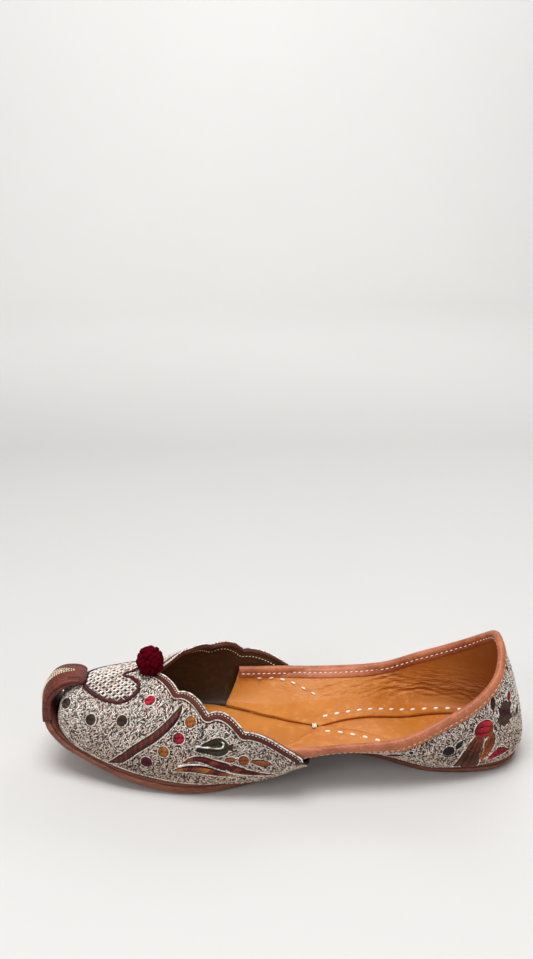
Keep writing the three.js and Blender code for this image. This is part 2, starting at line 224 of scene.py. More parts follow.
def rowLengths(p):  # the way along each row of a grid of points, from its first
    steps = np.linalg.norm(np.diff(p, axis=1), axis=2)
    return np.concatenate([np.zeros((len(p), 1)), np.cumsum(steps, axis=1)], 1)


def heightRun(u, height):  # v at which the last reaches that height
    v = np.linspace(0, 1, 260)
    z = lastPoint(np.asarray(u)[:, None], v[None, :])[..., 2]
    return np.array([np.interp(h, row, v) for h, row in zip(np.broadcast_to(height, len(u)), z)])


def runDown(u, top, length):  # v that lies a length down the section from top
    share = np.linspace(1, 0.02, 160)
    v = share[None, :] * np.asarray(top)[:, None]
    way = rowLengths(lastPoint(np.asarray(u)[:, None], v))
    return np.array([np.interp(n, row, vs) for n, row, vs in zip(np.broadcast_to(length, len(v)), way, v)])


def belowTopline(u, down):  # v that lies that far down the section from the collar's topline
    return runDown(u, heightRun(u, section("topline", u)), down)


# making meshes from arrays
def gridQuads(rows, columns, closed=False, first=0):
    # (i, j), (i+1, j), (i+1, j+1), (i, j+1) for every cell, and round again if closed
    i, j = np.meshgrid(np.arange(rows - 1), np.arange(columns if closed else columns - 1), indexing="ij")
    nextJ = (j + 1) % columns
    quads = [i * columns + j, (i + 1) * columns + j, (i + 1) * columns + nextJ, i * columns + nextJ]
    return np.stack([q.ravel() for q in quads], 1) + first


def makePiece(name, points, quads, tris, material, nodes=(), colours=None, merge=0.0):
    # a mesh from arrays of points and faces; it rides on the one body and stands for those nodes
    quads, tris = np.asarray(quads, int).reshape(-1, 4), np.asarray(tris, int).reshape(-1, 3)
    flat = np.concatenate([quads[:, [0, 1, 2]], quads[:, [0, 2, 3]], tris])
    a, b, c = (points[flat[:, k]] for k in range(3))
    if np.sum(np.cross(a, b) * c) < 0:  # six times the signed volume, positive when the faces point outwards
        quads, tris = quads[:, ::-1], tris[:, ::-1]
    loops = np.concatenate([quads.ravel(), tris.ravel()])
    sizes = np.concatenate([np.full(len(quads), 4), np.full(len(tris), 3)])
    starts = np.concatenate([[0], np.cumsum(sizes)[:-1]])
    mesh = bpy.data.meshes.new(name)
    mesh.vertices.add(len(points))
    mesh.vertices.foreach_set("co", (points * mm).astype(np.float32).ravel())
    mesh.loops.add(len(loops))
    mesh.loops.foreach_set("vertex_index", loops.astype(np.int32))
    mesh.polygons.add(len(sizes))
    mesh.polygons.foreach_set("loop_start", starts.astype(np.int32))
    mesh.update(calc_edges=True)
    mesh.validate()
    if colours is not None:
        layer = mesh.color_attributes.new("thread", "FLOAT_COLOR", "POINT")
        rgba = np.concatenate([colours, np.ones((len(colours), 1))], 1)
        layer.data.foreach_set("color", rgba.astype(np.float32).ravel())
    if merge:
        edit = bmesh.new()
        edit.from_mesh(mesh)
        bmesh.ops.remove_doubles(edit, verts=edit.verts, dist=merge * mm)
        bmesh.ops.dissolve_degenerate(edit, edges=edit.edges, dist=merge * mm * 0.1)
        edit.to_mesh(mesh)
        edit.free()
    mesh.polygons.foreach_set("use_smooth", np.ones(len(mesh.polygons), bool))
    piece = bpy.data.objects.new(name, mesh)
    bpy.context.scene.collection.objects.link(piece)
    mesh.materials.append(material)
    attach(piece, "root")
    if nodes:
        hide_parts(*nodes)
    print(name, len(flat), "triangles")
    return piece


def shellPiece(name, outer, inner, material, nodes=(), openTop=None, merge=0.0):
    # two skins of the same grid, closed along their edges; openTop says which spans of the top edge get a rim
    rows, columns = outer.shape[:2]
    count = rows * columns
    top = np.ones(rows - 1, bool) if openTop is None else openTop
    i = np.arange(rows - 1) * columns
    j = np.arange(columns - 1)
    last = (rows - 1) * columns

    def rim(a, b):
        return np.stack([a, b, b + count, a + count], 1)
    upper = i + columns - 1
    quads = [gridQuads(rows, columns), gridQuads(rows, columns, first=count)[:, ::-1],
             rim(i + columns, i), rim(upper, upper + columns)[top],
             rim(j, j + 1), rim(last + j + 1, last + j)]
    points = np.concatenate([outer.reshape(-1, 3), inner.reshape(-1, 3)])
    return makePiece(name, points, np.concatenate(quads), [], material, nodes, merge=merge)


def tubePiece(name, rings, material, nodes=(), merge=0.0, colour=None):
    # rings[i, k] closed in k, both ends capped
    rows, around = rings.shape[:2]
    centres = rings[[0, -1]].mean(1)
    points = np.concatenate([rings.reshape(-1, 3), centres])
    k = np.arange(around)
    first, final = rows * around, rows * around + 1
    lastRing = (rows - 1) * around
    caps = [np.stack([np.full(around, first), k, (k + 1) % around], 1),
            np.stack([np.full(around, final), lastRing + (k + 1) % around, lastRing + k], 1)]
    colours = None if colour is None else np.tile(colour, (len(points), 1))
    return makePiece(name, points, gridQuads(rows, around, True), np.concatenate(caps), material,
                     nodes, colours, merge)


def pathFrame(points, normals):  # along the path, across it (normal x along) and off the surface
    along = unit(np.gradient(points, axis=0))
    across = unit(np.cross(normals, along))
    return along, across, np.cross(along, across)


def pathLength(points):  # the running sum of the steps from point to point
    return np.concatenate([[0], np.cumsum(np.linalg.norm(np.diff(points, axis=0), axis=1))])


def atLengths(lengths, way, *columns):  # each column of values along a path, read at these lengths
    return [np.stack([np.interp(lengths, way, c[:, k]) for k in range(c.shape[1])], 1) for c in columns]


# a stitch: a low spindle of three triangular rings, drawn to a point at both ends
spindle = np.array([
    [-0.5, 0, 0.1],
    [-0.31, -0.44, 0], [-0.31, 0, 0.86], [-0.31, 0.44, 0],
    [0, -0.5, 0], [0, 0, 1], [0, 0.5, 0],
    [0.31, -0.44, 0], [0.31, 0, 0.86], [0.31, 0.44, 0],
    [0.5, 0, 0.1],
])
spindleQuads = np.array([[r + k, r + 3 + k, r + 3 + (k + 1) % 3, r + (k + 1) % 3]
                         for r in (1, 4) for k in range(3)])
spindleTris = np.array([[0, 1 + k, 1 + (k + 1) % 3] for k in range(3)]
                       + [[10, 7 + (k + 1) % 3, 7 + k] for k in range(3)])


def stitches(place, direction, normal, length, width, height, colour):
    # place + direction * x + across * y + normal * z of the spindle; one row of each array for each stitch
    count = len(place)
    normal, direction = unit(normal), unit(direction)
    across = unit(np.cross(normal, direction))
    spread = [np.broadcast_to(np.asarray(x, float), count)[:, None, None] for x in (length, width, height)]
    points = (place[:, None] + direction[:, None] * spindle[None, :, 0:1] * spread[0]
              + across[:, None] * spindle[None, :, 1:2] * spread[1]
              + normal[:, None] * (spindle[None, :, 2:3] - 0.15) * spread[2])
    colour = np.broadcast_to(np.asarray(colour, float), (count, 3))
    return dict(points=points.reshape(-1, 3), count=count, colours=np.repeat(colour, len(spindle), axis=0))


def stitchPiece(name, clouds, material):  # every cloud's spindles in one mesh
    clouds = [c for c in clouds if c["count"]]
    first = np.arange(sum(c["count"] for c in clouds))[:, None, None] * len(spindle)
    points, colours = (np.concatenate([c[key] for c in clouds]) for key in ("points", "colours"))
    return makePiece(name, points, (spindleQuads[None] + first).reshape(-1, 4),
                     (spindleTris[None] + first).reshape(-1, 3), material, colours=colours)


def runningStitches(points, normals, size, colour, slant=0.0):
    # a stitch at every pitch, along * cos(slant) + across * sin(slant); size is pitch, length, width, height
    pitch, length, width, height = size
    way = pathLength(points)
    at = np.arange(0.5 * pitch, way[-1] - 0.3 * pitch, pitch)
    _, _, off = pathFrame(points, unit(normals))
    p, off, along = atLengths(at, way, points, off, unit(np.gradient(points, axis=0)))
    direction = along * math.cos(slant) + np.cross(off, along) * math.sin(slant)
    return stitches(p, direction, off, length, width, height, colour)


# finishes
def newMaterial(name, roughness, metallic=0.0, sheen=0.0, coat=0.0, specular=0.5):
    # what is the same all over is set on the shader's own sockets
    material = bpy.data.materials.new(name)
    material.use_nodes = True
    tree = material.node_tree
    shader = tree.nodes["Principled BSDF"]
    shader.inputs["Roughness"].default_value = roughness
    shader.inputs["Metallic"].default_value = metallic
    shader.inputs["Sheen Weight"].default_value = sheen
    shader.inputs["Coat Weight"].default_value = coat
    shader.inputs["Coat Roughness"].default_value = 0.3
    shader.inputs["Specular IOR Level"].default_value = specular
    place = tree.nodes.new("ShaderNodeTexCoord")
    return material, tree, shader, place.outputs["Object"]


def noiseNode(tree, vector, scale, detail=4.0, roughness=0.55, stretch=None):
    # noise of the place, which is stretched first where a finish runs one way
    if stretch is not None:
        mapping = tree.nodes.new("ShaderNodeMapping")
        mapping.inputs["Scale"].default_value = stretch
        tree.links.new(vector, mapping.inputs["Vector"])
        vector = mapping.outputs["Vector"]
    noise = tree.nodes.new("ShaderNodeTexNoise")
    noise.inputs["Scale"].default_value = scale
    noise.inputs["Detail"].default_value = detail
    noise.inputs["Roughness"].default_value = roughness
    tree.links.new(vector, noise.inputs["Vector"])
    return noise.outputs["Fac"]


def spreadNode(tree, value, fromLow, fromHigh, toLow, toHigh):  # one range laid on another, clamped
    spread = tree.nodes.new("ShaderNodeMapRange")
    ends = {"From Min": fromLow, "From Max": fromHigh, "To Min": toLow, "To Max": toHigh}
    for socket, number in ends.items():
        spread.inputs[socket].default_value = number
    tree.links.new(value, spread.inputs["Value"])
    return spread.outputs["Result"]


def mixNode(tree, factor, a, b):  # a + (b - a) * factor; each may be a socket, a number or a colour
    mix = tree.nodes.new("ShaderNodeMix")
    mix.data_type = "RGBA"
    for socket, value in ((mix.inputs["Factor"], factor), (mix.inputs["A"], a), (mix.inputs["B"], b)):
        if isinstance(value, bpy.types.NodeSocket):
            tree.links.new(value, socket)
        elif isinstance(value, (int, float)):
            socket.default_value = value
        else:
            socket.default_value = (*value, 1)
    return mix.outputs["Result"]


def bumpNode(tree, height, distance, strength=1.0, under=None):  # height * distance in mm, over another bump
    bump = tree.nodes.new("ShaderNodeBump")
    bump.inputs["Distance"].default_value = distance * mm
    bump.inputs["Strength"].default_value = strength
    tree.links.new(height, bump.inputs["Height"])
    if under is not None:
        tree.links.new(under, bump.inputs["Normal"])
    return bump.outputs["Normal"]


def leather(name, colour, dark, light, roughness=0.45, blotch=38, grain=1500, depth=0.12, streak=None,
            coat=0.08):
    # broad blotches between dark and colour, lighter rubbed flecks, and a cell grain in the bump
    material, tree, shader, place = newMaterial(name, roughness, coat=coat, specular=0.3)
    broad = noiseNode(tree, place, blotch, 5.0, 0.6, streak)
    fine = noiseNode(tree, place, blotch * 9, 6.0, 0.65, streak)
    base = mixNode(tree, spreadNode(tree, broad, 0.36, 0.62, 0, 1), dark, colour)
    base = mixNode(tree, spreadNode(tree, fine, 0.52, 0.72, 0, 0.75), base, light)
    tree.links.new(base, shader.inputs["Base Color"])
    rubbed = spreadNode(tree, fine, 0.3, 0.7, roughness - 0.08, roughness + 0.12)
    tree.links.new(rubbed, shader.inputs["Roughness"])
    cells = tree.nodes.new("ShaderNodeTexVoronoi")
    cells.inputs["Scale"].default_value = grain
    tree.links.new(place, cells.inputs["Vector"])
    low = bumpNode(tree, cells.outputs["Distance"], depth, 0.55)
    tree.links.new(bumpNode(tree, fine, depth * 2.2, 0.5, low), shader.inputs["Normal"])
    return material


# the lining's wrinkles, then its painted shade towards the back of the heel: from and to in mm along x, how
# strong, and its colour
wrinkleLook = dict(heights=(10, 19, 36), fadeFrom=-30, fadeTo=20, scale=(105, 105, 620), depth=2.2,
                   paintedShadeFrom=-70, paintedShadeTo=-116, darkened=0.85, paintedShadeColour=(0.19, 0.045, 0.008))


def addWrinklesAndHeelShade(material):
    # level wrinkles: noise stretched along the shoe, strongest at the middle height, fading towards the ball;
    # then painted shade towards the heel's back
    tree = material.node_tree
    shader = tree.nodes["Principled BSDF"]
    place = next(node for node in tree.nodes if node.type == "TEX_COORD").outputs["Object"]
    axes = tree.nodes.new("ShaderNodeSeparateXYZ")
    tree.links.new(place, axes.inputs["Vector"])
    low, middle, high = (h * mm for h in wrinkleLook["heights"])
    rising = spreadNode(tree, axes.outputs["Z"], low, middle, 0, 1)
    falling = spreadNode(tree, axes.outputs["Z"], middle, high, 1, 0)
    near = spreadNode(tree, axes.outputs["X"], wrinkleLook["fadeFrom"] * mm, wrinkleLook["fadeTo"] * mm, 1, 0)
    folds = noiseNode(tree, place, 1, 3.0, 0.6, wrinkleLook["scale"])
    for factor in (rising, falling, near):
        product = tree.nodes.new("ShaderNodeMath")
        product.operation = "MULTIPLY"
        tree.links.new(folds, product.inputs[0])
        tree.links.new(factor, product.inputs[1])
        folds = product.outputs["Value"]
    grain = shader.inputs["Normal"].links[0].from_socket
    tree.links.new(bumpNode(tree, folds, wrinkleLook["depth"], 0.9, grain), shader.inputs["Normal"])
    # painted shade: the lining darker towards the back of the heel, where little light reaches inside
    darkened = spreadNode(tree, axes.outputs["X"], wrinkleLook["paintedShadeFrom"] * mm, wrinkleLook["paintedShadeTo"] * mm, 0,
                      wrinkleLook["darkened"])
    base = shader.inputs["Base Color"].links[0].from_socket
    tree.links.new(mixNode(tree, darkened, base, wrinkleLook["paintedShadeColour"]), shader.inputs["Base Color"])
    return material


def threadMaterial(name, metallic, roughness, sheen=0.0, grime=0.2, specular=0.5):
    # each stitch keeps its own colour, a little dirt between them, and a fine twist in the bump
    material, tree, shader, place = newMaterial(name, roughness, metallic, sheen, specular=specular)
    own = tree.nodes.new("ShaderNodeAttribute")
    own.attribute_name = "thread"
    dirt = spreadNode(tree, noiseNode(tree, place, 260, 4.0, 0.6), 0.45, 0.7, 0, grime)
    shade = mixNode(tree, dirt, own.outputs["Color"], (0.16, 0.1, 0.07))
    tree.links.new(shade, shader.inputs["Base Color"])
    twist = noiseNode(tree, place, 3800, 2.0, 0.5)
    tree.links.new(bumpNode(tree, twist, 0.12, 0.6), shader.inputs["Normal"])
    return material


def tanLeather(name):  # footbed and lining are cut from the same hide
    return leather(name, (0.58, 0.215, 0.042), (0.47, 0.145, 0.021), (0.66, 0.28, 0.07), 0.46,
                   blotch=20, grain=2100, depth=0.05, coat=0.04)


finishes = dict(
    sole=leather("sole_leather", (0.2, 0.062, 0.034), (0.1, 0.027, 0.015), (0.36, 0.14, 0.085), 0.5,
                 blotch=60, grain=1300, streak=(0.35, 1.6, 3.6), depth=0.1, coat=0.03),
    welt=leather("welt_leather", (0.13, 0.036, 0.019), (0.065, 0.017, 0.01), (0.24, 0.085, 0.05), 0.5,
                 streak=(0.35, 1, 3.4), coat=0.03),
    tan=tanLeather("tan_leather"),
    collar=leather("collar_leather", (0.46, 0.15, 0.066), (0.3, 0.08, 0.032), (0.58, 0.23, 0.12), 0.42,
                   blotch=55, grain=1700, depth=0.08, coat=0.05),
    curl=leather("curl_leather", (0.125, 0.022, 0.013), (0.05, 0.009, 0.006), (0.24, 0.066, 0.04), 0.5,
                 blotch=80, grain=1500, depth=0.1, coat=0.04),
    binding=leather("binding_leather", (0.085, 0.011, 0.005), (0.04, 0.006, 0.003), (0.14, 0.022, 0.011), 0.6,
                    blotch=90, grain=1800, depth=0.08, coat=0.03),
    ground=leather("ground_leather", (0.07, 0.032, 0.024), (0.02, 0.009, 0.007), (0.17, 0.09, 0.07), 0.7,
                   coat=0.0),
    # the vamp's lining, near black: painted shade for the inside of the toe
    dark=leather("dark_lining", (0.05, 0.022, 0.009), (0.022, 0.01, 0.005), (0.1, 0.048, 0.02), 0.55,
                 blotch=30, grain=1500, depth=0.08, coat=0.02),
    silver=threadMaterial("silver_thread", 0.45, 0.3),
    silk=threadMaterial("silk_thread", 0.0, 0.5, 0.0, 0.1, 0.25),
    cream=threadMaterial("cream_thread", 0.0, 0.6, 0.1, 0.12),
    wool=threadMaterial("wool", 0.0, 1.0, 0.0, 0.0, 0.04),
)
finishes["lining"] = addWrinklesAndHeelShade(tanLeather("lining_leather"))
threads = dict(
    cream=(0.86, 0.74, 0.54), gold=(0.7, 0.45, 0.24), white=(0.92, 0.86, 0.75),
    maroon=(0.11, 0.009, 0.012), dust=(0.105, 0.037, 0.026), rust=(0.24, 0.055, 0.02),
    crimson=(0.5, 0.012, 0.04), mustard=(0.5, 0.17, 0.025), amber=(0.3, 0.1, 0.03),
    bark=(0.085, 0.045, 0.03), plum=(0.1, 0.006, 0.022), olive=(0.062, 0.05, 0.025),
    umber=(0.1, 0.03, 0.017), wine=(0.075, 0.01, 0.022), black=(0.018, 0.013, 0.012),
    teal=(0.025, 0.045, 0.045),
)

# sole, midsole and insole
soleLook = dict(rows=300, across=14, merge=0.004)


def patternEdge(u, move):  # (along, side) of the feather line, moved outwards along its own normal in plan
    step = 0.01
    back, ahead = np.maximum(u - step, 0), np.minimum(u + step, toeSection)
    da = section("along", ahead) - section("along", back)
    ds = section("side", ahead) - section("side", back)
    normal = unit(np.stack([-ds, da], -1))
    normal[u <= 0] = (-1, 0)
    normal[u >= toeSection] = (1, 0)
    return section("along", u) + normal[:, 0] * move, section("side", u) + normal[:, 1] * move


def layerRings(edge, marginShare):
    # rings straight across the shoe: its underside, up one edge by steps, back over the top, down the other
    u = toeSection * (1 - np.cos(np.linspace(0, math.pi / 2, soleLook["rows"]))) ** 0.5
    u = np.minimum(u, toeSection)
    steps = []
    for share, plus, beyond in edge:
        along, side = patternEdge(u, beyond + marginShare * section("margin", u))
        steps.append((along, np.where(u <= 0, 0, side), share * section("stack", u) + plus))
    keep = steps[-1][0] < lastShape["soleEnd"] - 0.05
    keep &= np.cumsum(~keep) == 0
    across = np.linspace(-1, 1, soleLook["across"])
    (lowAlong, lowSide, lowHeight), (highAlong, highSide, highHeight) = steps[0], steps[-1]

    def column(along, side, height):  # no further forward than where the toe strip starts
        return beside(soleLine, np.minimum(along, lastShape["soleEnd"]), side, height)
    rings = [column(lowAlong, lowSide * x, lowHeight) for x in across]
    rings += [column(a, s, h) for a, s, h in steps[1:-1]]
    rings += [column(highAlong, -highSide * x, highHeight) for x in across]
    rings += [column(a, -s, h) for a, s, h in steps[-2:0:-1]]
    return np.stack(rings, 1)[keep]


# each layer's edge from below: share of the sole's stack, plus in mm, and how far out from the pattern's edge
share = lastShape["outsoleShare"]
outsoleEdge = [(0, 0, -3.4), (0, 0.12, -2.5), (0, 0.5, -1.6), (0, 1.1, -0.9), (0, 1.9, -0.35),
               (share * 0.55, 0.6, -0.05), (share, -1.0, 0), (share, -0.4, -0.15), (share, -0.1, -0.5),
               (share, 0, -1.0)]
midsoleEdge = [(share, 0.15, -2.2), (share, 0.15, -0.9), (share, 0.35, -0.45), (share, 0.7, -0.25),
               (1, -0.95, -0.25), (1, -0.6, -0.45), (1, -0.35, -0.95), (1, -0.3, -1.8)]
insoleEdge = [(1, 0, -0.6), (1, 1.5, -0.6), (1, 1.8, -0.9)]
for name, edge, marginShare, finish, slotName, node in (
        ("sole", outsoleEdge, 1, "sole", "sole_leather", "outsole"),
        ("sole_welt", midsoleEdge, 1, "welt", "welt_leather", "midsole"),
        ("footbed", insoleEdge, 0, "tan", "tan_leather", "insole")):
    tubePiece(name, layerRings(edge, marginShare), finishes[finish], [node], soleLook["merge"])

# lining: from the collar down the wall, turned in over the footbed to its free edge
liningLook = dict(rows=360, down=46, turn=8, flap=18, thick=0.55, face=-0.15, startDown=2.0, turnAt=0.1)
flapShape = dict(stitchAlong=106.5, stitchSide=0.15, stitchSection=6.3, frontAlong=142.5, frontSide=26,
                 frontSection=7.88, tuck=1.6, puff=0.5)
quarterFront = dict(foot=8.5, top=8.2)
collarHeight = 7
flapKnots = np.array([(14, 0), (14.2, 9.6), (20.8, 17), (32.5, 19.4), (52, 17.9), (79, 9.6),
                      (flapShape["stitchAlong"], flapShape["stitchSide"])])


def catmullRom(padded, at):  # through rows of points with a spare row at each end; at counts in rows
    i = np.minimum(np.floor(at).astype(int), len(padded) - 4)
    t = (at - i)[:, None]
    a, b, c, d = (padded[i + k] for k in range(4))
    return b + 0.5 * t * (c - a + t * (2 * a - 5 * b + 4 * c - d + t * (3 * (b - c) + d - a)))


def flapEdge(u):  # the flap's free edge as (along, side): a teardrop to the centre stitch, then an opening V
    padded = np.concatenate([flapKnots[:1], flapKnots, flapKnots[-1:]])
    back = catmullRom(padded, np.clip(u / flapShape["stitchSection"], 0, 1) * (len(flapKnots) - 1))
    t = (u - flapShape["stitchSection"]) / (flapShape["frontSection"] - flapShape["stitchSection"])
    t = np.clip(t, 0, 1)[:, None]
    front = np.array([flapShape["frontAlong"], flapShape["frontSide"]])
    return np.where(t > 0, flapKnots[-1] + (front - flapKnots[-1]) * t, back).T


# creases of the lining, nearly level: w round the heel, height on the wall, length in w, depth
creases = [
    (-4.6, 15.5, 1.3, 0.42), (-4.1, 18.4, 1.1, 0.36), (-3.5, 16.8, 1.0, 0.4), (-3.2, 21.0, 0.9, 0.3),
    (-2.7, 18.6, 0.9, 0.38), (-4.4, 21.8, 0.9, 0.3), (-2.2, 22.6, 0.7, 0.28), (-5.2, 18.2, 0.8, 0.28),
    (-3.0, 26.0, 0.8, 0.24), (-5.6, 14.2, 0.8, 0.25), (-1.8, 17.2, 0.6, 0.3), (-3.8, 24.2, 0.8, 0.25),
    (4.5, 16.5, 1.2, 0.38), (3.8, 19.6, 1.0, 0.32), (3.0, 17.4, 0.9, 0.36), (5.3, 19.0, 0.8, 0.26),
    (2.4, 21.4, 0.7, 0.28), (3.4, 24.0, 0.8, 0.24),
    (-5.0, 20.2, 1.0, 0.34), (-4.3, 13.6, 1.0, 0.34), (-3.7, 15.0, 0.9, 0.34), (-3.1, 19.2, 0.7, 0.3),
    (-2.8, 14.8, 0.8, 0.36), (-2.5, 16.6, 0.8, 0.34), (-2.2, 19.8, 0.6, 0.26), (-5.5, 16.6, 0.9, 0.32),
    (-4.9, 24.6, 0.7, 0.26), (-5.9, 19.4, 0.7, 0.3), (4.9, 14.2, 0.9, 0.3), (3.2, 14.8, 0.8, 0.3),
]


def creaseDepth(w, z):
    # sum of depth * exp(-(dw / length)^2) * (a trough exp(-(dz / 0.6)^2) less a soft ridge 1.25 mm above it)
    total = np.zeros(np.broadcast(w, z).shape)
    for at, height, length, depth in creases:
        wander = 1.1 * np.sin(2.6 * (w - at) / length + at) + 0.7 * np.sin(7 * (w - at) + height)
        dz = z - height - wander
        total += depth * np.exp(-((w - at) / length) ** 2) * (np.exp(-(dz / 0.6) ** 2)
                                                              - 0.7 * np.exp(-((dz - 1.25) / 0.7) ** 2))
    return total


def flapHeight(foot):  # the flap's face above the sole line, before its puff
    return section("stack", foot) + lastShape["insoleThick"] + lastShape["gap"] + lastShape["flapThick"]


def flapRun(foot):  # the flap's outer and free edges on the flat sole at section foot, each as (along, side)
    outerAlong, outerSide = patternEdge(foot, -flapShape["tuck"])
    freeAlong, freeSide = flapEdge(foot)
    freeSide = np.minimum(freeSide, np.maximum(outerSide - 0.4, 0))
    meets = foot >= flapShape["frontSection"]
    return outerAlong, outerSide, np.where(meets, outerAlong, freeAlong), np.where(meets, outerSide, freeSide)


def flapPoint(foot, k, side, back=0.0):  # k from the outer edge (0) to the free edge (1), puffed between
    outerAlong, outerSide, freeAlong, freeSide = (x.reshape(np.shape(foot)) for x in flapRun(np.ravel(foot)))
    along = outerAlong + (freeAlong - outerAlong) * k
    across = (outerSide + (freeSide - outerSide) * k) * side
    puff = flapShape["puff"] * np.sin(math.pi * k) ** 2 + 0.12 * np.sin(along / 6.1) * np.sin(math.pi * k)
    settle = np.where(k > 0.9, (k - 0.9) / 0.1, 0) ** 2 * 0.35
    return beside(soleLine, along, across, flapHeight(foot) + puff - settle - back)


def liningGrid(back):  # back is how far the sheet lies behind its face
    w = np.linspace(-quarterFront["top"], quarterFront["top"], liningLook["rows"])
    u, side = np.abs(w), np.where(w < 0, -1, 1)
    top = belowTopline(u, liningLook["startDown"])
    t = np.linspace(1, 0, liningLook["down"])[None, :]
    v = liningLook["turnAt"] + (top[:, None] - liningLook["turnAt"]) * t
    foot = u * quarterFront["foot"] / quarterFront["top"]
    uu = foot[:, None] + (u - foot)[:, None] * t
    height = lastOffset(uu, v, 0.0)[..., 2]
    depth = liningLook["face"] + back + creaseDepth(w[:, None], height) * (1 if back == 0 else 0.6)
    wallPart = lastOffset(uu, v, depth)
    wallPart[..., 1] *= side[:, None]
    k = np.linspace(0, 1, liningLook["flap"])[None, :]
    flapPart = flapPoint(foot[:, None], k, side[:, None], back * 1.6)
    outerAlong, outerSide = patternEdge(foot, -flapShape["tuck"])
    # a rounded turn between wall and flap: a quadratic curve on the corner where they meet
    a, c = wallPart[:, -1], flapPart[:, 1]
    corner = beside(soleLine, outerAlong, outerSide * side, flapHeight(foot) + 0.2 - back)
    corner = corner * 0.85 + (a + c) / 2 * 0.15
    t = np.linspace(0, 1, liningLook["turn"] + 2)[1:-1][None, :, None]
    turn = (1 - t) ** 2 * a[:, None] + 2 * (1 - t) * t * corner[:, None] + t ** 2 * c[:, None]
    return np.concatenate([wallPart, turn, flapPart[:, 1:]], 1)


shellPiece("lining", liningGrid(0)[:, ::-1], liningGrid(liningLook["thick"])[:, ::-1], finishes["lining"],
           ["turned_lining"])

# the quarter's outer leather, and the collar rolled over its top
quarterLook = dict(rows=240, columns=30, face=1.55, back=0.7)
w = np.linspace(-quarterFront["top"], quarterFront["top"], quarterLook["rows"])
quarterTop = belowTopline(np.abs(w), collarHeight - 1.0)
t = np.linspace(0, 1, quarterLook["columns"])[None, :]
foot = w * quarterFront["foot"] / quarterFront["top"]
w = foot[:, None] + (w - foot)[:, None] * t
v = t * quarterTop[:, None]
shellPiece("quarter_leather", wall(w, v, quarterLook["face"]), wall(w, v, quarterLook["back"]),
           finishes["ground"], ["quarter"])

# its stitch rows: how far down and out, which way they face, and their thread
collarLook = dict(rows=520, stitchRows=((3.7, -0.86, -1, "white"), (4.9, 2.36, 1, "gold")))
# round the collar's section: how far below the topline, and how far out from the last
collarProfile = np.array([
    [6.6, -0.5], [6.1, -0.72], [5.2, -0.85], [4.3, -0.95], [3.7, -0.78], [3.1, -1.0], [2.2, -1.0],
    [1.2, -0.8], [0.5, -0.35], [0.1, 0.25], [0, 0.9], [0.1, 1.55], [0.5, 2.15], [1.2, 2.6], [2.2, 2.8],
    [3.2, 2.8], [4.3, 2.6], [4.9, 2.32], [5.4, 2.5], [6.1, 2.5], [6.7, 2.2], [6.7, 1.2], [6.6, 0.2],
])


def collarPoints(w, down, out):  # round the collar, that far below its topline and out from the last
    p = lastOffset(np.abs(w), belowTopline(np.abs(w), max(down, 1e-3)), out)
    p[:, 1] *= np.where(w < 0, -1, 1)
    return p


w = np.linspace(-quarterFront["top"], quarterFront["top"], collarLook["rows"])
ripple = 0.12 * np.sin(w * 9.1 + 1.3 * np.sin(w * 3.7)) + 0.07 * np.sin(w * 23 + 2)
rings = [collarPoints(w, down, out + ripple * np.clip((out - 1) / 1.8, 0, 1)) for down, out in collarProfile]
tubePiece("collar", np.stack(rings, 1), finishes["collar"], ["collar_binding"])
print("walls done")

# vamp
vampLook = dict(columns=44, spans=(10, 46, 34, 32, 34), front=90, face=1.55, back=0.85, liningFace=0.8,
                merge=0.004)
notches = [  # the topline's notches: u, v, and how far the lobe before it stands out
    (6.62, 0.04, 0), (6.78, 0.3, 0), (8.09, 0.51, 0.048), (8.82, 0.612, 0.042), (9.48, 0.762, 0.038),
    (10.18, 1, 0.035),
]
throat = notches[-1][0]


def vampTop(u):  # between notches a straight run plus lobe * sin(pi t)^0.8; past the throat the crest
    v = np.ones(np.shape(u))
    for (u0, v0, _), (u1, v1, lobe) in zip(notches, notches[1:]):
        t = np.clip((u - u0) / (u1 - u0), 0, 1)
        inside = (u >= u0) & (u <= u1)
        v = np.where(inside, np.minimum(1, v0 + (v1 - v0) * t + lobe * np.sin(math.pi * t) ** 0.8), v)
    return v


def betweenNotches(kept, counts, rest):  # w from one side over the toe to the other, so many steps for a lobe
    lobes = [np.linspace(a[0], b[0], n, endpoint=False) for a, b, n in zip(kept, kept[1:], counts)]
    half = np.concatenate(lobes + [rest])
    return np.concatenate([half, wholeRound - half[-2::-1]])


w = betweenNotches(notches, vampLook["spans"], np.linspace(throat, toeSection, vampLook["front"]))
u = np.minimum(w, wholeRound - w)
openTop = (np.minimum(u[:-1], u[1:]) < throat - 1e-6) & (np.maximum(u[:-1], u[1:]) <= throat + 1e-6)
v = np.linspace(0, 1, vampLook["columns"])[None, :] * vampTop(u)[:, None]
w = w[:, None]
shellPiece("vamp_leather", wall(w, v, vampLook["face"], 1), wall(w, v, vampLook["back"], 1),
           finishes["ground"], ["vamp"], openTop=openTop, merge=vampLook["merge"])
# its lining in the near-black leather: painted shade inside the toe
shellPiece("vamp_lining", wall(w, v, vampLook["liningFace"], 1), wall(w, v, 0, 1), finishes["dark"],
           openTop=openTop, merge=vampLook["merge"])

# the throat's scalloped binding, with its cord and stitch row
bindingLook = dict(width=3.5, stitchAt=0.95, liningDown=3.6)
pathW = betweenNotches(notches[1:], (300, 220, 220, 220), [throat])
pathV = vampTop(np.minimum(pathW, wholeRound - pathW))


def smooth(points, reach):  # a running Gaussian mean over that many neighbours, ends held
    k = np.exp(-np.linspace(-2, 2, 2 * reach + 1) ** 2)
    k /= k.sum()
    held = np.concatenate([np.repeat(points[:1], reach, 0), points, np.repeat(points[-1:], reach, 0)])
    return np.stack([np.convolve(held[:, c], k, "valid") for c in range(points.shape[1])], 1)


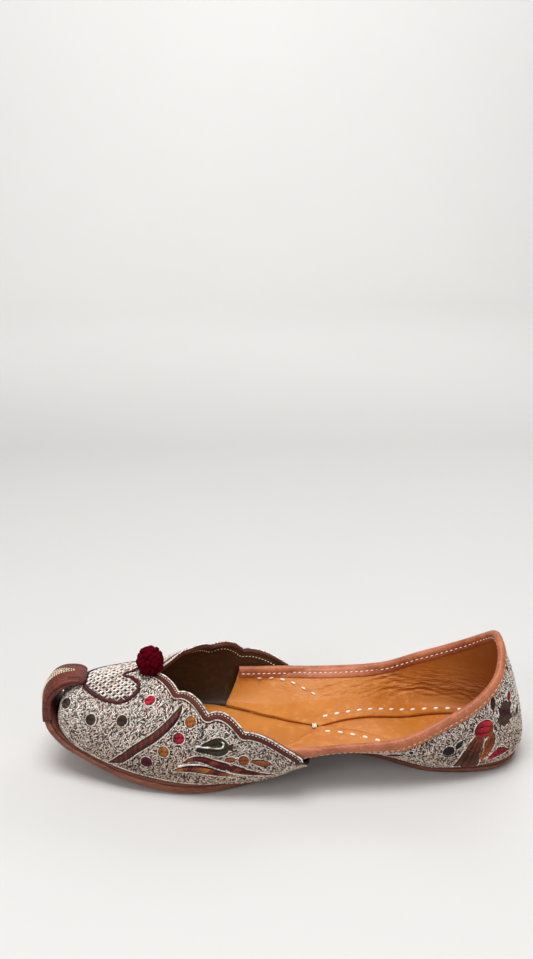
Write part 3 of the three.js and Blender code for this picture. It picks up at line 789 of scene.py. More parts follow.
edgeFrame = wallFrame(pathW, np.minimum(pathV, 0.996), 1.8, 1)
edgeWay = pathLength(edgeFrame["p"])
evenly = np.linspace(0, edgeWay[-1], 1400)
edge, edgeNormal = atLengths(evenly, edgeWay, edgeFrame["p"], edgeFrame["normal"])
edge = smooth(edge, 5)
edgeNormal = unit(smooth(edgeNormal, 30))
edgeAlong, edgeIn, edgeOff = pathFrame(edge, edgeNormal)
edgeIn = unit(smooth(edgeIn, 7))


def besideEdge(inward, off):  # the throat's edge moved in over the vamp and off its surface
    return edge + edgeIn * inward + edgeOff * off


# round the binding's section: how far in from the edge, and how far off the vamp's face
bindingProfile = [
    (3.5, -0.3), (3.5, 0.2), (3.2, 0.42), (2.4, 0.55), (1.7, 0.55), (1.15, 0.38), (0.8, 0.38), (0.4, 0.5),
    (0.0, 0.2), (-0.15, -0.4), (-0.12, -1.2), (0.1, -1.8), (0.4, -1.98), (0.75, -1.95), (0.8, -1.7),
]
rings = np.stack([besideEdge(inward, off) for inward, off in bindingProfile], 1)[::2]
tubePiece("throat_binding", rings, finishes["binding"])


def silverShade(count):  # champagne to silver, with a few dull stitches
    warm = random.random((count, 1))
    bright = 0.66 + 0.44 * random.random((count, 1)) ** 0.8
    dull = np.where(random.random((count, 1)) < 0.18, 0.42, 1.0)
    shade = np.array([1.12, 1.04, 0.98]) * (1 - warm) + np.array([1.06, 0.83, 0.71]) * warm
    return np.minimum(shade * bright * dull, 1)


# rows of stitches: pitch, length, width and height
rowSizes = dict(edge=(0.78, 1.45, 0.66, 0.75), inner=(0.8, 1.3, 0.6, 0.6), outline=(0.9, 1.4, 0.6, 0.6),
                ring=(0.85, 1.25, 0.55, 0.55), braid=(0.86, 1.5, 0.62, 0.55), binding=(1.7, 1.15, 0.46, 0.4),
                lining=(1.9, 1.3, 0.5, 0.4), collar=(2.9, 2.0, 0.72, 0.62), saddle=(6.6, 3.4, 1.65, 1.15),
                chevron=(1.3, 0.95, 0.6, 0.5), curlEdge=(1.7, 1.2, 0.42, 0.34))


def silverRow(points, normals, size, slant=0.3, tint=(1, 1, 1)):
    # a row of silver stitches, each with its own brightness
    row = runningStitches(points, normals, size, (0, 0, 0), slant)
    shade = np.minimum(silverShade(row["count"]) * np.array(tint), 1)
    return dict(row, colours=np.repeat(shade, len(spindle), axis=0))


# a twisted cord laid along the throat's edge, and a finer one where the binding meets the embroidery
inner = besideEdge(bindingLook["width"] + 0.3, 0.12)
cords = [silverRow(besideEdge(-0.05, 0.4), edgeOff, rowSizes["edge"], 0.55, (1.15, 1.12, 1.1)),
         silverRow(inner, edgeOff, rowSizes["inner"], -0.5, (0.95, 0.92, 0.88))]
stitchPiece("throat_cord", cords, finishes["silver"])

# embroidery: motifs are bands of satin stitches, the rest is a fill of short silver stitches
# lowWarmthAndShade is how much the fill's colour drops towards the foot, channel by channel: painted shade
# with a warmer tone
stitchLook = dict(face=1.62, rowPitch=0.78, alongPitch=1.08, length=1.5, width=0.66, height=0.5,
                  satinPitch=0.44, laneWidth=4, pathPitch=0.4, outline=0.5, clear=0.15, missed=0.04,
                  outlineTint=(1.08, 1.06, 1.04), lowWarmthAndShade=(0.27, 0.38, 0.46))
random = np.random.default_rng(23)


def knotPath(knots, count):  # Catmull-Rom through the given (w, v) knots
    knots = np.array(knots, float)
    padded = np.concatenate([2 * knots[:1] - knots[1:2], knots, 2 * knots[-1:] - knots[-2:-1]])
    return catmullRom(padded, np.linspace(0, len(knots) - 1, count))


outlines = dict(  # share of the half width along a motif, t from 0 to 1
    dot=lambda t: np.sqrt(1 - (2 * t - 1) ** 2),
    leaf=lambda t: np.sin(math.pi * t) ** 0.75,
    drop=lambda t: np.where(t < 0.66, (t / 0.66) ** 0.8,
                            np.sqrt(np.clip(1 - ((t - 0.66) / 0.34) ** 2, 0, 1))),
    rope=lambda t: np.minimum(1, np.minimum(t, 1 - t) * 7) ** 0.7,
    band=lambda t: np.ones(np.shape(t)),
    pot=lambda t: 0.8 + 0.2 * np.abs(2 * t - 1) ** 2,
    base=lambda t: 0.3 + 0.7 * (1 - t) ** 0.7,
)


def evenPath(knots, standOff, pitch):  # (w, v) along a motif at an even pitch, its share t and its length
    path = knotPath(knots, 80)
    way = pathLength(wall(path[:, 0], path[:, 1], stitchLook["face"], standOff))
    count = max(int(way[-1] / pitch), 4)
    at = (np.arange(count) + 0.5) / count * way[-1]
    return np.interp(at, way, path[:, 0]), np.interp(at, way, path[:, 1]), at / way[-1], way[-1]


def motifFrame(knots, standOff, pitch):
    # evenPath, then its frame on the wall, its tangent, and the tangent's ahead and down parts
    w, v, t, length = evenPath(knots, standOff, pitch)
    f = wallFrame(w, v, stitchLook["face"], standOff)
    tangent = unit(np.gradient(f["p"], axis=0))
    ta, td = np.sum(tangent * f["ahead"], -1), np.sum(tangent * f["down"], -1)
    size = np.maximum(np.hypot(ta, td), 1e-6)
    return w, v, t, length, f, tangent, ta / size, td / size


def satin(shape, half, colours, knots, standOff, slant=0.0, puff=0.4, segment=0.0):
    # stitches across the path, in lanes no wider than laneWidth; colours blend along it, or change by segment
    w, v, t, length, _, _, ta, td = motifFrame(knots, standOff, stitchLook["satinPitch"])
    wide = half * outlines[shape](t)
    lanes = max(1, math.ceil(2 * half / stitchLook["laneWidth"]))
    da = -td * math.cos(slant) + ta * math.sin(slant)
    dd = ta * math.cos(slant) + td * math.sin(slant)
    palette = np.array([threads[name] for name in colours])
    made = []
    for lane in range(lanes):
        centre = ((lane + 0.5) / lanes * 2 - 1) * wide + 0.25 * random.normal(size=len(w)) * (lanes > 1)
        off = stitchLook["face"] + puff * (1 - (centre / max(half, 1e-6)) ** 2)
        newW, newV = moveOnWall(w, v, da * centre, dd * centre, stitchLook["face"], standOff)
        g = wallFrame(newW, newV, off, standOff)
        direction = g["ahead"] * da[:, None] + g["down"] * dd[:, None]
        if segment:
            shade = palette[np.floor(t * length / segment).astype(int) % len(palette)]
        else:
            at = t * (len(palette) - 1) + 0.12 * random.normal(size=len(t))
            shade = np.stack([np.interp(at, np.arange(len(palette)), palette[:, c]) for c in range(3)], 1)
        shade = shade * (0.62 + 0.65 * random.random((len(t), 1)))
        made.append(stitches(g["p"], direction, g["normal"], 2 * wide / lanes + 0.3 * (lanes > 1) + 0.05,
                             stitchLook["satinPitch"] * 1.55, 0.5, shade))
    return made


def outlineRow(shape, half, knots, standOff):
    # silver stitches down both sides of the motif: off its edge by d, and past its ends by (2t - 1) d
    w, v, t, length, _, _, ta, td = motifFrame(knots, standOff, stitchLook["pathPitch"])
    d = stitchLook["outline"]
    run = np.concatenate([[0], t, [1]])
    w, v, ta, td = (np.concatenate([x[:1], x, x[-1:]]) for x in (w, v, ta, td))
    ends = 0.25 / max(length, 1)
    wide = half * outlines[shape](np.clip(run, ends, 1 - ends)) * (1 if shape == "pot" else run > 0)
    wide = wide + d * np.sqrt(np.clip(1 - np.abs(2 * run - 1) ** 3, 0, 1))
    beyond = (2 * run - 1) * d
    made = []
    for s in (1, -1):
        ahead, down = ta * beyond - td * wide * s, td * beyond + ta * wide * s
        newW, newV = moveOnWall(w, v, ahead, down, stitchLook["face"], standOff)
        g = wallFrame(newW, newV, stitchLook["face"] + 0.1, standOff)
        made.append(silverRow(g["p"], g["normal"], rowSizes["outline"], tint=stitchLook["outlineTint"]))
    return made


def ringRow(centre, radius, standOff):  # silver stitches round a dot
    turn = np.linspace(0, 2 * math.pi, 60)
    w, v = (np.full(len(turn), float(x)) for x in centre)
    w, v = moveOnWall(w, v, radius * np.cos(turn), radius * np.sin(turn), stitchLook["face"], standOff)
    f = wallFrame(w, v, stitchLook["face"] + 0.1, standOff)
    return silverRow(f["p"], f["normal"], rowSizes["ring"], 0.25, stitchLook["outlineTint"])


def cordRow(knots, standOff, size, colour=None):  # one thicker row along the path itself
    f = motifFrame(knots, standOff, stitchLook["pathPitch"])[4]
    p = f["p"] + f["normal"] * 0.15
    if colour:
        return runningStitches(p, f["normal"], (0.9, 1.1 * size, 0.5 * size, 0.5 * size), threads[colour])
    return silverRow(p, f["normal"], (0.85, 1.35 * size, 0.58 * size, 0.6 * size), 0.45, (1.1, 1.08, 1.06))


def dotKnots(centre, radius, standOff):  # a level path across a dot, for its satin
    w, v = (np.array([x] * 3, float) for x in centre)
    w, v = moveOnWall(w, v, np.array([-radius, 0, radius]), np.zeros(3), stitchLook["face"], standOff)
    return np.stack([w, v], 1)


# motifs of one side: shape, half width in mm, threads along it, (w, v) knots, and what else they need
vampMotifs = [
    ("dot", 2.6, ["bark", "black"], [(13.03, 0.598)], {}),
    ("dot", 2.6, ["bark", "black"], [(11.93, 0.55)], {}),
    ("dot", 2.6, ["black", "bark"], [(10.97, 0.589)], {}),
    ("dot", 2.6, ["crimson"], [(10.22, 0.739)], {}),
    ("dot", 2.6, ["mustard", "amber"], [(9.21, 0.586)], {}),
    ("dot", 2.6, ["crimson", "plum"], [(9.49, 0.499)], {}),
    ("dot", 2.6, ["rust", "mustard", "bark"], [(9.88, 0.407)], {}),
    ("dot", 2.8, ["plum", "wine"], [(10.33, 0.304)], {}),
    ("rope", 2.0, ["maroon", "dust"],
     [(9.38, 0.688), (9.56, 0.62), (10.0, 0.522), (10.7, 0.375), (11.4, 0.14)], dict(slant=0.7, segment=1.7)),
    ("drop", 4.6, ["black", "olive"], [(9.13, 0.425), (8.83, 0.437), (8.43, 0.437)],
     dict(hook=[(9.12, 0.452), (8.79, 0.44), (8.6, 0.436), (8.53, 0.452), (8.55, 0.472)])),
    ("leaf", 2.0, ["maroon", "rust", "maroon", "maroon"],
     [(9.44, 0.333), (9.17, 0.366), (8.94, 0.359), (8.71, 0.328), (8.42, 0.298), (8.09, 0.269), (7.45, 0.24)],
     dict(slant=0.5, segment=3.0)),
    ("leaf", 2.0, ["amber", "mustard", "rust", "maroon", "rust"],
     [(9.68, 0.258), (9.39, 0.282), (9.14, 0.288), (8.88, 0.275), (8.62, 0.252), (8.3, 0.23)],
     dict(slant=0.6, segment=2.6)),
    ("leaf", 1.3, ["rust", "amber"], [(8.52, 0.354), (8.29, 0.357)], {}),
    ("dot", 2.5, ["amber", "rust"], [(8.13, 0.347)], {}),
    ("leaf", 1.7, ["rust", "amber", "rust"], [(7.97, 0.343), (7.48, 0.31)], {}),
]
vampSeams = [[(9.3, 0.656), (9.51, 0.595), (9.74, 0.547)], [(8.81, 0.587), (9.05, 0.48)]]
vampCords = [[(9.54, 0.305), (9.31, 0.325), (9.02, 0.326)]]
quarterMotifs = [
    ("leaf", 1.5, ["maroon"], [(5.66, 0.155), (5.3, 0.17)], {}),
    ("leaf", 1.8, ["maroon", "wine"], [(5.24, 0.17), (4.96, 0.235)], {}),
    ("dot", 1.0, ["black"], [(4.82, 0.275)], {}),
    ("dot", 2.9, ["black"], [(3.95, 0.303)], {}),
    ("leaf", 1.4, ["black"], [(3.8, 0.312), (3.65, 0.342)], {}),
    ("base", 7.3, ["umber", "umber", "rust"], [(3.45, 0.12), (3.42, 0.22), (3.33, 0.3), (3.2, 0.355)], {}),
    ("leaf", 3.0, ["mustard", "rust", "amber"], [(3.1, 0.2), (2.98, 0.29), (2.82, 0.335), (2.8, 0.37)], {}),
    ("dot", 5.3, ["rust", "crimson", "maroon"], [(3.06, 0.376)], {}),
    ("leaf", 2.2, ["crimson", "maroon"], [(2.86, 0.2), (2.5, 0.26), (2.05, 0.272)], {}),
    ("pot", 5.2, ["black", "wine", "maroon", "wine"], [(2.17, 0.426), (2.2, 0.408)], {}),
    ("leaf", 1.4, ["black", "umber"], [(2.79, 0.485), (2.75, 0.436)], {}),
    ("leaf", 1.7, ["maroon", "crimson"], [(1.81, 0.49), (1.88, 0.453)], {}),
    ("leaf", 1.5, ["teal", "black"], [(1.19, 0.42), (1.38, 0.39)], {}),
    ("leaf", 1.0, ["teal"], [(1.5, 0.56), (1.42, 0.6)], {}),
]
heartKnots = [(12.8, 0.985), (12.33, 0.839), (11.84, 0.762), (11.48, 0.73), (11.03, 0.722), (10.63, 0.781),
              (10.52, 0.877), (10.68, 0.945), (10.92, 0.985)]


def farSide(knots):  # the same places on the other side of the shoe
    return [(wholeRound - w, v) for w, v in knots]


def sewMotifs(motifs, standOff):  # silk bands and their silver outlines on both sides, with what they cover
    silk, silver, covered = [], [], []
    for shape, half, colours, knots, extra in motifs:
        for mirrored in (False, True):
            path = farSide(knots) if mirrored else knots
            turned = -1 if mirrored else 1
            if shape == "dot":
                silver.append(ringRow(path[0], half + stitchLook["outline"] * 0.8, standOff))
                path = dotKnots(path[0], half, standOff)
            else:
                silver += outlineRow(shape, half, path, standOff)
            silk += satin(shape, half, colours, path, standOff, extra.get("slant", 0.15) * turned,
                          segment=extra.get("segment", 0))
            if "hook" in extra:  # a padded silver cord inside the motif
                hook = farSide(extra["hook"]) if mirrored else extra["hook"]
                silver.append(cordRow(hook, standOff, 1.8))
            _, _, t, _, f, tangent, *_ = motifFrame(path, standOff, stitchLook["pathPitch"])
            covered.append((f["p"], half * outlines[shape](t), tangent))
    return silk, silver, covered


def fillRows(uEnds, topOf, standOff):
    # rows at even girths above the feather line, and even stations along each: columns of w, v, girth
    u = np.linspace(*uEnds, 700)
    v = np.linspace(0, 1, 240)
    girth = rowLengths(wall(u[:, None], v[None, :], stitchLook["face"], standOff))
    rows = np.arange(3.0, girth.max(), stitchLook["rowPitch"])
    level = np.array([np.interp(rows, g, v) for g in girth])
    inside = (rows[None, :] <= girth[:, -1:] - 0.3) & (level <= topOf(u)[:, None])
    made = []
    for k, row in enumerate(rows):
        line = wall(u, level[:, k], stitchLook["face"], standOff)
        way = pathLength(line)
        at = np.arange(random.random() * stitchLook["alongPitch"], way[-1], stitchLook["alongPitch"])
        at = at + 0.3 * random.normal(size=len(at))
        keep = np.interp(at, way, inside[:, k].astype(float)) > 0.99
        columns = [np.interp(at, way, u), np.interp(at, way, level[:, k]), np.full(len(at), row)]
        made.append(np.stack(columns, 1)[keep])
    return np.concatenate(made)


def nearestOf(p, points, reach):  # gap from each p to the band covered round points, and the nearest one
    gap = np.full(len(p), 1e3)
    pick = np.zeros(len(p), int)
    room = reach.max() + 4
    box = (p > points.min(0) - room).all(1) & (p < points.max(0) + room).all(1)
    for chunk in np.array_split(np.flatnonzero(box), max(1, box.sum() * len(points) // 400000)):
        if len(chunk):
            apart = np.linalg.norm(p[chunk, None] - points[None], axis=2)
            pick[chunk] = apart.argmin(1)
            gap[chunk] = apart.min(1) - reach[pick[chunk]]
    return gap, pick


def fillStitches(places, standOff, covered):
    # angle = 2.2 sin(x/5.1 + 1.3 sin(g/4.3)) + 1.7 cos(g/3.7 + x/9) + noise, but along a motif close by
    w, v, g = places.T
    f = wallFrame(w, v, stitchLook["face"], standOff)
    x = f["p"][:, 0]
    angle = 2.2 * np.sin(x / 5.1 + 1.3 * np.sin(g / 4.3)) + 1.7 * np.cos(g / 3.7 + x / 9)
    angle += 0.4 * random.normal(size=len(w))
    direction = f["ahead"] * np.cos(angle)[:, None] + f["down"] * np.sin(angle)[:, None]
    keep = np.ones(len(w), bool)
    for points, reach, tangent in covered:
        gap, pick = nearestOf(f["p"], points, reach)
        keep &= gap > stitchLook["outline"] + stitchLook["clear"]
        close = (gap < stitchLook["outline"] + 1.5)[:, None]
        parallel = unit(tangent[pick] + 0.25 * random.normal(size=direction.shape))
        direction = np.where(close, parallel, direction)
    keep &= random.random(len(w)) > stitchLook["missed"]
    low = np.clip(1 - (f["p"][:, 2] - 8) / 30, 0, 1)[:, None]  # darker and warmer towards the foot: painted shade from the light above, with a warmer thread tone
    shade = silverShade(len(w)) * (1 - low * np.array(stitchLook["lowWarmthAndShade"]))
    # some stitches much darker at random, more of them towards the foot
    darkened = random.random((len(w), 1)) < 0.08 + 0.12 * low
    shade = np.where(darkened, shade * 0.2, shade)
    rise = 0.12 * random.normal(size=(len(w), 1))
    size = stitchLook["length"] * (0.75 + 0.5 * random.random(len(w)))
    return stitches((f["p"] + f["normal"] * rise)[keep], direction[keep], f["normal"][keep], size[keep],
                    stitchLook["width"], stitchLook["height"], shade[keep])


def footBraid(wEnds, standOff):  # two rows of slanted stitches along the foot, a plaited look
    w = np.linspace(*wEnds, 1500)
    u = np.minimum(np.mod(w, wholeRound), wholeRound - np.mod(w, wholeRound))
    perGirth = 0.06 / np.linalg.norm(lastPoint(u, 0.06) - lastPoint(u, 0.0), axis=-1)
    made = []
    for girth, slant in ((1.2, 0.7), (2.1, -0.7)):
        f = wallFrame(w, girth * perGirth, stitchLook["face"] + 0.05, standOff)
        made.append(silverRow(f["p"], f["normal"], rowSizes["braid"], slant, (1.0, 0.96, 0.92)))
    return made


def topPoints(x, y):  # the vamp's (w, v) under those plan places, by Newton steps; y may be on either side
    w, v = np.full(len(x), 11.6), np.full(len(x), 0.9)
    for _ in range(9):
        f = wallFrame(w, v, stitchLook["face"], 1)
        gapX, gapY = x - f["p"][:, 0], np.abs(y) - f["p"][:, 1]
        a, b = f["alongW"], f["alongV"]
        det = a[:, 0] * b[:, 1] - a[:, 1] * b[:, 0]
        w = np.clip(w + np.clip((gapX * b[:, 1] - gapY * b[:, 0]) / det, -0.6, 0.6), 9, 14.9)
        v = np.clip(v + np.clip((a[:, 0] * gapY - a[:, 1] * gapX) / det, -0.08, 0.08), 0.4, 0.998)
    return wallFrame(np.where(y < 0, wholeRound - w, w), v, stitchLook["face"], 1)


def insidePolygon(x, y, corners):  # even-odd rule, all points against all edges
    x0, y0 = corners.T
    x1, y1 = np.roll(corners, -1, axis=0).T
    crosses = (y0[None] > y[:, None]) != (y1[None] > y[:, None])
    at = x0 + (y[:, None] - y0) * (x1 - x0) / np.where(np.abs(y1 - y0) < 1e-9, 1e-9, y1 - y0)
    return (crosses & (x[:, None] < at)).sum(1) % 2 == 1


heartLook = dict(pitch=2.65, thread=0.31, half=0.85)


def sewHeart():
    # its outline in twisted silk, and inside it a lattice: two slanting families of double silver threads
    pitch, thread, half = heartLook["pitch"], heartLook["thread"], heartLook["half"]
    silk, covered, rim = [], [], []
    for mirrored in (False, True):
        path = farSide(heartKnots) if mirrored else heartKnots
        silk += satin("band", half, ["wine", "maroon"], path, 1, -0.8 if mirrored else 0.8, 0.5, 1.4)
        _, _, t, _, f, tangent, *_ = motifFrame(path, 1, stitchLook["pathPitch"])
        covered.append((f["p"], np.full(len(t), half - 0.45), tangent))
        rim.append(f["p"][::-1] if mirrored else f["p"])
    corners = np.concatenate(rim)[:, :2]
    low, high = corners.min(0) - 4, corners.max(0) + 4
    n = np.arange(-40, 41)
    i, j = (m.ravel() for m in np.meshgrid(n, n))
    made = []
    centre = np.array([(low[0] + high[0]) / 2, 0])
    for family in (0, 1):
        for double in (-thread, thread):
            along, across = (i + 0.5) * pitch, j * pitch + double
            a, b = (along, across) if family == 0 else (across, along)
            x, y = centre[0] + (a + b) * math.sqrt(0.5), (a - b) * math.sqrt(0.5)
            near = (x > low[0]) & (x < high[0]) & (y > low[1]) & (y < high[1])
            x, y, over = x[near], y[near], ((i + j) % 2)[near]
            inside = insidePolygon(x, y, corners)
            x, y, over = x[inside], y[inside], over[inside]
            f = topPoints(x, y)
            gap = np.minimum(*(nearestOf(f["p"], points, reach)[0] for points, reach, _ in covered))
            keep = gap > 1.1
            plan = np.array([1, 1 if family == 0 else -1, 0]) * math.sqrt(0.5)
            direction = plan - f["normal"] * (f["normal"] @ plan)[:, None]
            lifted = f["p"] + f["normal"] * (0.12 + 0.16 * (over == family))[:, None]
            made.append(stitches(lifted[keep], direction[keep], f["normal"][keep], pitch + 0.15, 0.56, 0.5,
                                 silverShade(keep.sum()) * 1.2))
    return silk, made, covered, corners


def bothSides(places, middle):  # columns of w, v, girth, with those mirrored about that w
    return np.concatenate([places, places * (-1, 1, 1) + (2 * middle, 0, 0)])


vampSilk, vampSilver, vampCovered = sewMotifs(vampMotifs, 1)
heartSilk, lattice, heartCovered, heartCorners = sewHeart()
for line in vampSeams:
    vampSilk += [cordRow(knots, 1, 1.3, "black") for knots in (line, farSide(line))]
for line in vampCords:
    vampSilver += [cordRow(knots, 1, 1.6) for knots in (line, farSide(line))]
throatEdge = (edge[::4], np.full(len(edge[::4]), bindingLook["width"] + 0.45), edgeAlong[::4])
places = bothSides(fillRows((6.7, toeSection - 0.02), vampTop, 1), toeSection)
inHeart = insidePolygon(*(wall(places[:, 0], places[:, 1], stitchLook["face"], 1)[:, :2].T), heartCorners)
places = places[~inHeart | (places[:, 1] <= 0.6)]
fill = fillStitches(places, 1, vampCovered + heartCovered + [throatEdge])
braid = footBraid((6.75, wholeRound - 6.75), 1)
stitchPiece("vamp_embroidery", [fill], finishes["silver"])
stitchPiece("vamp_outlines", vampSilver + lattice + braid, finishes["silver"])
stitchPiece("vamp_motifs", vampSilk + heartSilk, finishes["silk"])


def quarterFillTop(u):  # just below the collar
    return belowTopline(np.clip(u, 0, quarterFront["top"]), collarHeight - 0.1)


quarterSilk, quarterSilver, quarterCovered = sewMotifs(quarterMotifs, 0)
fill = fillStitches(bothSides(fillRows((0.01, 7.4), quarterFillTop, 0), 0), 0, quarterCovered)
braid = footBraid((-7.4, 7.4), 0)
stitchPiece("quarter_embroidery", [fill], finishes["silver"])
stitchPiece("quarter_outlines", quarterSilver + braid, finishes["silver"])
stitchPiece("quarter_motifs", quarterSilk, finishes["silk"])
print("embroidery done")

# stitch rows in cream thread
crossLook = dict(along=108.8, apart=0.8, length=5.2, width=0.95, height=1.0)
onBinding = besideEdge(bindingLook["stitchAt"], 0.44)
onLining = besideEdge(bindingLook["liningDown"], -2.0)
rows = [runningStitches(onBinding, edgeOff, rowSizes["binding"], threads["white"]),
        runningStitches(onLining, -edgeOff, rowSizes["lining"], threads["cream"])]
w = np.linspace(-quarterFront["top"] + 0.03, quarterFront["top"] - 0.03, 1200)
for down, out, turned, thread in collarLook["stitchRows"]:
    f = wallFrame(w, belowTopline(np.abs(w), down), out)
    rows.append(runningStitches(f["p"], f["normal"] * turned, rowSizes["collar"], threads[thread], 0.12))


def liningLine(uFrom, uTo, insetFrom, insetTo):
    # along one side of the lining, that far from its free edge over flap and wall, and the normals there
    w = np.linspace(-quarterFront["top"], quarterFront["top"], liningLook["rows"])
    sheet = liningGrid(0)
    faces = unit(np.cross(np.gradient(sheet, axis=1), np.gradient(sheet, axis=0)))
    rowsOf = np.flatnonzero((w >= uFrom) & (w <= uTo))
    points, normals = [], []
    for i, inset in zip(rowsOf, np.linspace(insetFrom, insetTo, len(rowsOf))):
        way = pathLength(sheet[i, ::-1])
        p, n = atLengths(np.array([inset]), way, sheet[i, ::-1], faces[i, ::-1])
        points.append(p[0])
        normals.append(n[0])
    normals = unit(smooth(np.array(normals), 6))
    if np.mean(normals[:, 2]) < 0:
        normals = -normals
    return smooth(np.array(points), 4), normals


# behind the cross stitch the saddle row follows the flap; before it the row climbs the wall, by w
line, normals = liningLine(0.25, 6.24, 4.4, 6.4)
w = np.linspace(6.25, 7.95, 300)
heights = np.interp(w, (6.25, 6.4, 6.75, 7.1, 8), (17, 18.2, 20.4, 21.4, 22.6))
climbing = wallFrame(w, heightRun(w, heights), -0.3)
for side in (1, -1):
    flip = np.array([1, side, 1])
    for p, n in ((line, normals), (climbing["p"], -climbing["normal"])):
        rows.append(runningStitches(p * flip, n * flip, rowSizes["saddle"], threads["white"]))
crossAt = beside(soleLine, crossLook["along"], 0.0, flapHeight(np.array([6.4])) + 0.35)
crossAt = crossAt + np.outer([-1, 0, 1], [crossLook["apart"], 0, 0])  # three threads side by side
rows.append(stitches(crossAt, np.tile([0.0, 1, 0], (3, 1)), np.tile([0.0, 0, 1], (3, 1)), crossLook["length"],
                     crossLook["width"], crossLook["height"], threads["white"]))
stitchPiece("cream_stitches", rows, finishes["cream"])

# toe curl
curlLook = dict(rows=170)


def curlSize(share):  # half width and thickness along the strip: full thickness first, then a smooth taper
    half = lastShape["curlBase"] + (tip["halfWidth"] - lastShape["curlBase"]) * share ** 0.9
    half = half + 0.9 * np.clip(1 - share / 0.12, 0, 1) ** 2  # it widens to the sole's front
    base = section("stack", toeSection) - lastShape["gap"]
    t = np.clip((share - lastShape["curlFull"]) / (1 - lastShape["curlFull"]), 0, 1)
    bend = 1.2 * np.exp(-((share - 0.55) / 0.15) ** 2)  # it thickens where it bends over the toe
    return half, base + (tip["thick"] - base) * t * t * (3 - 2 * t) + bend


def curlFace(share, y):
    # how far the crowned outer face lies in: crown * (y / half width)^2.4, less at the foot
    half, thick = curlSize(share)
    return (0.34 * thick - 0.1) * np.abs(y / half) ** 2.4 * (0.4 + 0.6 * np.clip(share / 0.2, 0, 1))


def curlPoint(share, y, height):
    start = lastShape["soleEnd"] + 0.1
    return beside(wholeLine, start + share * (wholeLine["s"][-1] - start), y, height)


share = np.linspace(0, 1, curlLook["rows"])
halfWidth, thick = curlSize(share)
# half round the strip's section: share of the half width, inset in mm, share of the thickness, plus in mm
curlHalf = [
    (0.25, 0, 0, 0), (0.5, 0, 0, 0), (0.72, 0, 0, 0), (1, 2.7, 0, 0), (1, 2.3, 0, 0.28), (1, 1.9, 0, 0.05),
    (1, 1.3, 0, -0.15), (1, 0.6, 0, -0.05), (1, 0.15, 0, 0.35), (1, 0, 0, 0.8), (1, 0.1, 0.45, -0.35),
    (1, 0.7, 0.45, 0), (1, 0.1, 0.45, 0.35), (1, 0, 1, -0.8), (1, 0.25, 1, -0.3), (1, 0.8, 1, -0.05),
    (0.7, 0, 1, 0), (0.35, 0, 1, 0),
]
endSoft = np.clip((1 - share) / 0.035, 0, 1) ** 0.5  # rounds the strip's tip


def curlColumn(widthShare, inset, thickShare, plus):  # height = face + thickness share of what is left + plus
    y = halfWidth * widthShare - inset
    face = curlFace(share, y)
    height = face + (thick - face) * thickShare + plus
    height = thick / 2 + (height - thick / 2) * (0.35 + 0.65 * endSoft)
    return curlPoint(share, y * (0.55 + 0.45 * endSoft), height)


columns = [curlColumn(*row) for row in curlHalf]
mirrored = [column * (1, -1, 1) for column in columns[::-1]]
rings = np.stack([curlColumn(0, 0, 0, 0), *columns, *mirrored], 1)
tubePiece("toe_strip", rings, finishes["curl"], ["toe_curl"])


def curlRow(shares, ys, down=-0.12):  # a path on the strip's outer face, and its normals
    face = curlFace(shares, ys)
    outward = curlPoint(shares, ys, face - 1) - curlPoint(shares, ys, face)
    return curlPoint(shares, ys, face + down), unit(outward)


chevrons = [(0.8, 0.1, 5.6), (0.72, 0.1, 3.8), (0.64, 0.1, 2.0)]  # share at the apex and foot, foot's width
curlRows = []
for apex, foot, wide in chevrons:
    t = np.linspace(1, -1, 160)  # up one arm, over the apex and down the other
    p, n = curlRow(apex + (foot - apex) * np.abs(t) ** 1.15, wide * np.sign(t) * np.abs(t) ** 0.8)
    curlRows.append(runningStitches(p, n, rowSizes["chevron"], threads["cream"]))
for side in (-1, 1):
    t = np.linspace(0.03, 0.96, 160)
    p, n = curlRow(t, (curlSize(t)[0] - 2.25) * side, 0.16)
    curlRows.append(runningStitches(p, n, rowSizes["curlEdge"], threads["rust"]))
stitchPiece("curl_stitches", curlRows, finishes["cream"])

# pompom: tufts of wool round a ball
pompomLook = dict(tufts=4200, core=5.3, curls=95, lump=1.7, shape=(0.93, 0.95, 1.05), sunk=0.8,
                  wool=(0.085, 0.0008, 0.006), coreShadeColour=(0.03, 0.0005, 0.004))
ballCentre = np.mean(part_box("pompom"), 0) / mm - (0, 0, pompomLook["sunk"])
ballShape = np.array(pompomLook["shape"])  # a little taller than wide


def ballSpiral(count):  # unit points spread evenly over a ball on a golden-angle spiral
    k = np.arange(count)
    level = 1 - 2 * (k + 0.5) / count
    spin = k * math.pi * (3 - math.sqrt(5))
    ring = np.sqrt(1 - level ** 2)
    return np.stack([ring * np.cos(spin), ring * np.sin(spin), level], 1)


out = ballSpiral(pompomLook["tufts"])
curls = unit(ballSpiral(pompomLook["curls"]) + 0.1 * random.normal(size=(pompomLook["curls"], 3)))
curlRadius = 2.1 / math.sqrt(pompomLook["curls"])
nearest = np.argmax(out @ curls.T, 1)
offCurl = np.linalg.norm(out - curls[nearest], axis=1) / curlRadius
dome = np.sqrt(np.clip(1 - offCurl ** 2, 0, 1))  # each curl of wool is a small dome on the core
stand = (0.75 + 0.5 * random.random(pompomLook["curls"]))[nearest]
lean = unit(out * 0.6 + 0.7 * (out - curls[nearest]) / curlRadius + 0.35 * random.normal(size=out.shape))
reach = pompomLook["core"] + pompomLook["lump"] * dome * stand
